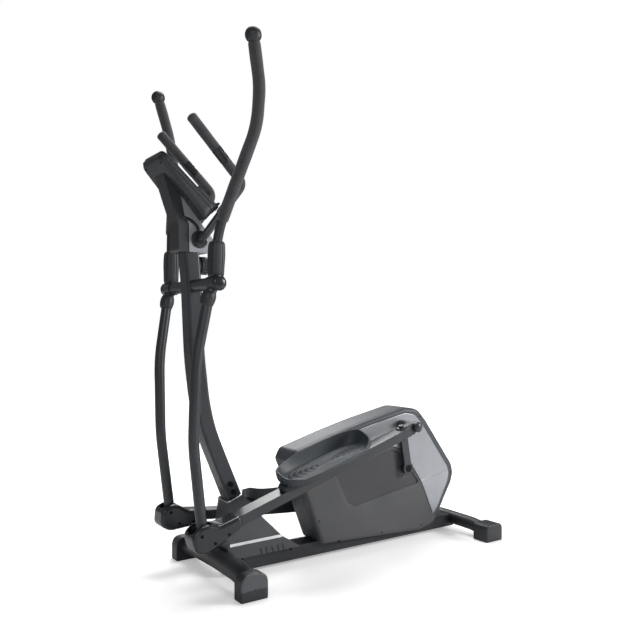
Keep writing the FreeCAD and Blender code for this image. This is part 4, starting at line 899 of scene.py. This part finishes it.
# screws: a countersunk collar and a domed head with a driver recess, turned on one axis
def makeScrews(name, spots, axis, radius, finish, body, slotName, proud=0.8):
    profile = [(-2.0, 0.02 * radius), (proud - 0.9, 0.02 * radius),
               (proud - 0.9, 0.2 * radius), (proud - 0.9, 0.34 * radius),
               (proud - 0.9, 0.42 * radius), (proud + 0.1, 0.5 * radius),
               (proud - 0.1, 0.8 * radius), (proud - 0.6, radius), (-2.0, radius)]
    rings = [turned(spot, axis, profile, 20) for spot in spots]
    meshes = [ringMesh(name, ring) for ring in rings]
    whole = bmesh.new()
    for mesh in meshes:
        whole.from_mesh(mesh)
    whole.to_mesh(meshes[0])
    whole.free()
    return addPiece(name, meshes[0], finish, body, slotName)


for word in sides:
    makeHousingSide(word)
    makeInlay(word)
    spots = [(x / 1000, sides[word] * (housing["face"] - 0.0004), z / 1000)
             for x, z in housing["screws"]]
    makeScrews("housingScrews_" + word, spots, (0, sides[word], 0), 4.2, "screwBlack",
               "frame", "steel")
# black bead along the silver inlay's inner edge: the dark joint with the recess, with the shadow
# under the recess's upper lip painted into it
makeBead("inlayEdgeShadow", inlay["inner"], 0.0022, 0.0012, "capBlack", "black_plastic")
# bright bead along the seam in the silver inlay: a painted highlight on the seam's edge; the
# groove itself is cut in the inlay
makeBead("inlaySeamHighlight", [(397, 211, 1), (460, 222, 1), (532, 239, 1)], 0.0011, 0.0029,
         "brightTrim", "bright_trim")
print("housing sides made")

# stabiliser end caps

frontCap = {"centre": -0.4085, "halfDeep": 0.0440, "high": 0.0765, "outer": 0.2475,
            "inner": 0.205, "arch": 32, "round": 0.0045, "split": 0.032}
rearCap = {"centre": 0.5915, "halfDeep": 0.0408, "high": 0.0620, "outer": 0.2462,
           "inner": 0.18, "arch": 19, "round": 0.0045, "split": 1.0}


# The section is a flat sole under an arch, resampled from its rounded corners; it is carried
# outwards and drawn in round the outer edge. Faces above the split take the second finish.
def makeFootCap(name, cap, word, finish, upperFinish):
    half, high = cap["halfDeep"] * 1000, cap["high"] * 1000
    section = roundedOutline([(-half, 0, 5), (half, 0, 5), (half, high, cap["arch"]),
                              (-half, high, cap["arch"])], 0.0015)
    share = np.linspace(0, 1, 9)
    inward = cap["round"] * np.concatenate([[0, 0, 0], 1 - np.cos(share * math.pi / 2)])
    outward = cap["outer"] - cap["round"] * (1 - np.sin(share * math.pi / 2))
    outward = np.concatenate([[cap["inner"], cap["inner"] + 0.0005, cap["inner"] + 0.02],
                              outward, [cap["outer"] + 0.0003]])
    rows = [insideOutline(section, distance) for distance in inward]
    middle = rows[-1].mean(0)
    rows.append(middle + (rows[-1] - middle) * 0.3)
    rings = np.empty((len(rows), len(section), 3))
    rings[..., 0] = cap["centre"] + np.array(rows)[..., 0]
    rings[..., 1] = sides[word] * outward[:, None]
    rings[..., 2] = np.maximum(np.array(rows)[..., 1], 0)
    mesh = ringMesh(name, rings, sharpAngle=50)
    addPiece(name, mesh, finish, "frame", "black_plastic", "foot_caps")
    mesh.materials.append(finishes[upperFinish])
    middles = np.empty(len(mesh.polygons) * 3)
    mesh.polygons.foreach_get("center", middles)
    middles = middles.reshape(-1, 3)
    upper = (middles[:, 2] > cap["split"]) & (np.abs(middles[:, 1]) > cap["outer"] - 0.004)
    mesh.polygons.foreach_set("material_index", upper.astype("i"))


for word in sides:
    makeFootCap("frontFoot_" + word, frontCap, word, "capBlack", "capFront")
    makeFootCap("rearFoot_" + word, rearCap, word, "capBlack", "capBlack")
print("foot caps made")

# joint covers: two half shells each, open where the arms leave them

jointShell = {
    "outline": [(-43, -26, 26), (-10, -42, 40), (52, -33, 50), (116, -18, 7), (116, 17.5, 7),
                (48, 20, 40), (14, 38, 30), (-12, 41, 30), (-43, 26, 26)],
    "centre": (0.02, -0.002), "halfWide": 0.0352, "round": 0.011, "wall": 0.0024,
    "slotHalf": 0.0215, "armHalf": 0.0272,
    "screws": [(18, -20), (66, -16), (-14, 17)],
}


# Rays from the shell's middle; rows round over from the face to the split line, which
# stands back from the middle plane where the swing arm and the pedal arm pass.
def makeJointShell(word, part):
    rays = np.linspace(-math.pi, math.pi, 360, endpoint=False)
    centre = jointShell["centre"]
    edge = roundedOutline(jointShell["outline"])
    reach = lambda distance: rayLengths(insideOutline(edge, distance), centre, rays)
    full = reach(0)
    across, up = full * np.cos(rays) + centre[0], full * np.sin(rays) + centre[1]
    forArm = (easeStep(0.108, 0.114, across) * (1 - easeStep(0.0152, 0.0165, np.abs(up))))
    forSwing = easeStep(0.024, 0.03, up) * (1 - easeStep(0.03, 0.042, np.abs(across)))
    rim = 0.0004 + np.maximum(jointShell["armHalf"] * forArm, jointShell["slotHalf"] * forSwing)
    half, bend = jointShell["halfWide"], jointShell["round"]
    flat = half - bend
    rows = [(full * share, np.full(len(rays), half))
            for share in (0.04, 0.25, 0.5)]
    rows.append((reach(bend), np.full(len(rays), half)))
    for turn in np.linspace(0.12, 1, 10) * math.pi / 2:
        depth = flat + bend * math.cos(turn)
        rows.append((reach(bend * (1 - math.sin(turn))), np.maximum(depth, rim)))
    rows.append((full, np.maximum(np.minimum(flat, (flat + rim) / 2), rim)))
    rows.append((full, rim))
    wall = jointShell["wall"]
    rows.append((reach(wall), rim))
    rows.append((reach(wall), np.maximum(flat, rim)))
    rows.append((reach(bend), np.full(len(rays), half - wall)))
    rows.append((full * 0.04, np.full(len(rays), half - wall)))
    lengths = np.array([row[0] for row in rows])
    depths = np.array([row[1] for row in rows])
    rings = np.empty(lengths.shape + (3,))
    rings[..., 0] = centre[0] + lengths * np.cos(rays)
    rings[..., 1] = 0.14 + part * depths
    rings[..., 2] = centre[1] + lengths * np.sin(rays)
    name = "jointShell_%s_%s" % (word, "outer" if part > 0 else "inner")
    mesh = ringMesh(name, intoPlace(rings, pedalFrame(word), word), sharpAngle=45)
    addPiece(name, mesh, "capGloss", "pedal_" + word, "black_plastic", "joint_cover_" + word)
    spots = np.array([(x, 140 + part * 35.3, z) for x, z in jointShell["screws"]]) / 1000
    makeScrews(name.replace("Shell", "Screws"), intoPlace(spots, pedalFrame(word), word),
               (0, sides[word] * part, 0), 5.0, "screwBlack", "pedal_" + word, "steel", 1.2)


for word in sides:
    makeJointShell(word, 1)
    makeJointShell(word, -1)
print("joint covers made")

# foam and sensors of the fixed handlebar

bar = {
    "centre": (-0.484, 1.046), "bend": (-0.374, 0.105, 1.218), "tip": (-0.551, 0.116, 1.393),
    "halfClamp": 0.056, "round": 0.03,
    "foamRadius": 0.0156, "sensorRadius": 0.0160,
    "upper": (-0.118, 0.004), "sensor": (-0.1638, -0.1182), "lowerTo": -0.1642,
    "lowerFrom": 1.120,
}


def barLine(word):
    route = [(bar["centre"][0], 0, bar["centre"][1]),
             (bar["centre"][0], bar["halfClamp"], bar["centre"][1]), bar["bend"], bar["tip"]]
    line, run = bentRun(route, bar["round"], 0.003)
    line[:, 1] *= sides[word]
    return line, run - run[-1]


# sleeve on the bar: a circle carried along it, drawn in at its ends; a tip is closed round
def makeSleeve(name, word, start, stop, radius, finish, slotName, closedTip, *standsFor):
    line, run = barLine(word)
    way = (line[-1] - line[-2]) / np.linalg.norm(line[-1] - line[-2])
    line = np.vstack([line, line[-1] + way * 0.004, line[-1] + way * 0.008])
    run = np.concatenate([run, [0.004, 0.008]])
    places = np.linspace(start, stop, max(int((stop - start) / 0.0015), 12))
    spots = resampled(line, run, places)
    fromStart, fromStop = places - start, stop - places
    lip = np.clip(1 - fromStart / 0.004, 0, 1)
    drawnIn = 0.0014 if finish == "gripFoam" else 0.0002
    radii = radius - drawnIn * lip ** 2 + 0.00015 * np.sin(places * 90)
    if closedTip:
        radii = radii * np.sqrt(np.clip(1 - np.clip(1 - fromStop / 0.010, 0, 0.97) ** 2.4,
                                        0, 1))
    else:
        radii = radii - drawnIn * np.clip(1 - fromStop / 0.004, 0, 1) ** 2
    rings = roundAlong(spots, radii, (0.1, 1, 0.1), 36)
    piece = addPiece(name, ringMesh(name, rings), finish, "frame", slotName, *standsFor)
    return piece


for word in sides:
    line, run = barLine(word)
    low = run[np.argmax(line[:, 2] > bar["lowerFrom"])]
    makeSleeve("gripUpper_" + word, word, *bar["upper"], bar["foamRadius"], "gripFoam",
               "foam", True, "fixed_grips")
    makeSleeve("gripLower_" + word, word, low, bar["lowerTo"], bar["foamRadius"],
               "gripFoam", "foam", False, "fixed_grips")
    makeSleeve("pulseSleeve_" + word, word, *bar["sensor"], bar["sensorRadius"], "capGloss",
               "black_plastic", False, "pulse_sensors")
print("fixed handlebar made")

# console shell, in the console's own tilted frame

console = {
    "origin": (-0.6187, 1.290), "tilt": 41.7, "length": 0.233, "halfWide": 0.080,
    "corner": 30, "topDepth": 0.022, "lowDepth": 0.052, "backRound": 0.012, "seam": 0.0141,
}


def consolePlace(points):
    turn = math.radians(console["tilt"])
    placed = points.copy()
    placed[..., 0] = (console["origin"][0] + points[..., 0] * math.cos(turn)
                      + points[..., 2] * math.sin(turn))
    placed[..., 2] = (console["origin"][1] - points[..., 0] * math.sin(turn)
                      + points[..., 2] * math.cos(turn))
    return placed


# The rounded rectangle in plan is the first parameter; the second goes down the side, round
# the back edge on a quarter turn and in over the back, which deepens towards the user.
def makeConsoleShell():
    long, half = console["length"] * 1000, console["halfWide"] * 1000
    corner = console["corner"]
    edge = roundedOutline([(1, 1 - half, corner), (long - 1, 1 - half, corner),
                           (long - 1, half - 1, corner), (1, half - 1, corner)], 0.002)
    depthAt = lambda along: -(console["topDepth"] + (console["lowDepth"] - console["topDepth"])
                              * along / console["length"])
    rows = []
    for inward, share in ((0.003, 0.0), (0.0, 0.02), (0.0, 0.5)):
        plan = insideOutline(edge, inward)
        back = depthAt(plan[:, 0]) + console["backRound"]
        top = -console["seam"]
        rows.append(np.column_stack([plan, top + (np.minimum(back, top) - top) * share]))
    for bend in np.linspace(0, 1, 10) * math.pi / 2:
        plan = insideOutline(edge, console["backRound"] * (1 - math.cos(bend)))
        high = depthAt(plan[:, 0]) + console["backRound"] * (1 - math.sin(bend))
        rows.append(np.column_stack([plan, np.minimum(high, -console["seam"] - 0.0005)]))
    flat = rows[-1]
    middle = np.array([console["length"] / 2, 0])
    for share in (0.7, 0.35, 0.05):
        plan = middle + (flat[:, :2] - middle) * share
        rows.append(np.column_stack([plan, depthAt(plan[:, 0]) - 0.0006 * (1 - share)]))
    mesh = ringMesh("consoleShell", consolePlace(np.array(rows)), sharpAngle=60)
    addPiece("consoleShell", mesh, "consoleBlack", "frame", "black_plastic", "console_back")


# bright bead round the console where its halves meet: a small circle along the plan outline
def makeConsoleBead():
    long, half = console["length"] * 1000, console["halfWide"] * 1000
    edge = roundedOutline([(0, -half, 24), (long, -half, 24), (long, half, 24),
                           (0, half, 24)], 0.003)
    line = np.column_stack([edge, np.full(len(edge), -0.0008)])
    turn = np.linspace(0, 2 * math.pi, 12, endpoint=False)[None, :]
    outward = -(insideOutline(edge, 1) - edge)
    rings = np.empty((len(edge), 12, 3))
    rings[..., 0] = line[:, :1] + outward[:, :1] * (0.0004 + 0.0016 * np.cos(turn))
    rings[..., 1] = line[:, 1:2] + outward[:, 1:] * (0.0004 + 0.0016 * np.cos(turn))
    rings[..., 2] = line[:, 2:] + 0.0013 * np.sin(turn)
    mesh = ringMesh("consoleBead", consolePlace(rings), loopRows=True)
    addPiece("consoleBead", mesh, "coverGrey", "frame", "grey_plastic")
    spots = consolePlace(millimetres([20, -58, -25.5], [20, 58, -25.5], [150, -62, -42.2],
                                     [150, 62, -42.2]))
    tilt = math.radians(console["tilt"])
    makeScrews("consoleScrews", spots, (-math.sin(tilt) - 0.1, 0, -math.cos(tilt)),
               3.4, "screwBlack", "frame", "steel")


makeConsoleShell()
makeConsoleBead()
print("console made")

# black arc along the seam of the two silver covers, which rings the handlebar's exit: a dark
# strip for the seam's gap, with the shadow in it painted

coverArc = {
    "path": [(-541, 1109), (-523, 1106), (-506, 1097), (-494, 1086), (-486, 1072)],
    "stand": 0.0354, "halfWide": 0.0054, "high": 0.0022,
    "exit": (-0.484, 1.046),
    "exitRing": [(-0.5, 17.9), (4.0, 18.2), (5.6, 21.5), (4.2, 25.8), (-0.5, 27.5)],
}


# a low black bead along the arc, painted shadow in the seam's gap, and a turned ring at the exit
def makeCoverArc(word):
    spots = [(x, z, 0) for x, z in coverArc["path"]]
    line, _ = bentRun(np.array(spots, float) / 1000, 0.03, 0.0015)
    rings = halfBead(word, line[:, :2], coverArc["stand"], 0.001, coverArc["halfWide"],
                     coverArc["high"], 15, (-1, 6), 0.5)
    mesh = ringMesh("coverArc_" + word, rings)
    addPiece("coverArc_" + word, mesh, "capGloss", "frame", "black_plastic")
    x, z = coverArc["exit"]
    rings = turned((x, sides[word] * coverArc["stand"], z), (0, sides[word], 0),
                   coverArc["exitRing"])
    addPiece("exitRing_" + word, ringMesh("exitRing_" + word, rings, loopRows=True),
             "capGloss", "frame", "black_plastic")


# mast base: louvres, collar line and screws

base = {
    "face": 0.052, "louvreTop": [(-280, 80.5), (-260, 80.5), (-238, 80.5), (-216.5, 80.5),
                                 (-198, 80.5)],
    "louvreShift": (6, -23), "louvreHalf": 0.0034, "louvreHigh": 0.0018,
    "screws": [(-344, 56), (-166, 57)],
    "collar": [(-388, 235), (-336, 254)], "collarHalf": 37.2, "collarRadius": 0.0017,
}


# a louvre is a slanted hood: a quarter-sine bulge that steps back to the face on one side
def makeBaseDetails(word):
    whole = bmesh.new()
    for x, z in base["louvreTop"]:
        top = millimetres(x, z)
        share = np.linspace(0, 1, 24)[:, None]
        spine = top + share * millimetres(*base["louvreShift"])
        turn = np.linspace(0, 1, 11)[None, :]
        ends = np.sin(share * math.pi) ** 0.4
        across = (turn - 0.5) * 2 * base["louvreHalf"]
        bulge = np.where(turn < 0.8, np.sin(turn / 0.8 * math.pi / 2), (1 - turn) / 0.2)
        rings = np.empty((24, 11, 3))
        rings[..., 0] = spine[:, :1] + across
        rings[..., 1] = sides[word] * (base["face"] - 0.0004
                                       + (base["louvreHigh"] + 0.0004) * bulge * ends)
        rings[..., 2] = spine[:, 1:] + 0 * across
        whole.from_mesh(ringMesh("louvre", rings))
    mesh = bpy.data.meshes.new("baseLouvres_" + word)
    whole.to_mesh(mesh)
    whole.free()
    addPiece("baseLouvres_" + word, mesh, "capBlack", "frame", "black_plastic")
    spots = [(x / 1000, sides[word] * (base["face"] - 0.0003), z / 1000)
             for x, z in base["screws"]]
    makeScrews("baseScrews_" + word, spots, (0, sides[word], 0), 4.6, "screwBlack",
               "frame", "steel")


# collar line: a thin bright bead laid round the top of the base cover
def makeCollarLine():
    (x0, z0), (x1, z1) = base["collar"]
    half = base["collarHalf"]
    path = [(x1, 0, z1), (x1, half, z1), (x0, half + 0.8, z0), (x0, 0, z0)]
    path = path + [(x, -y, z) for x, y, z in path[2:0:-1]]
    spots = np.array(path, float)
    loop = np.vstack([spots, spots[:1]]) / 1000
    line, _ = bentRun(loop, 0.008, 0.002)
    line = line[:-1]
    rings = roundAlong(line, np.full(len(line), base["collarRadius"]), (0.37, 0, -0.93), 12)
    addPiece("collarLine", ringMesh("collarLine", rings, loopRows=True), "brightTrim",
             "frame", "bright_trim")


for word in sides:
    makeCoverArc(word)
    makeBaseDetails(word)
makeCollarLine()
print("covers' details made")
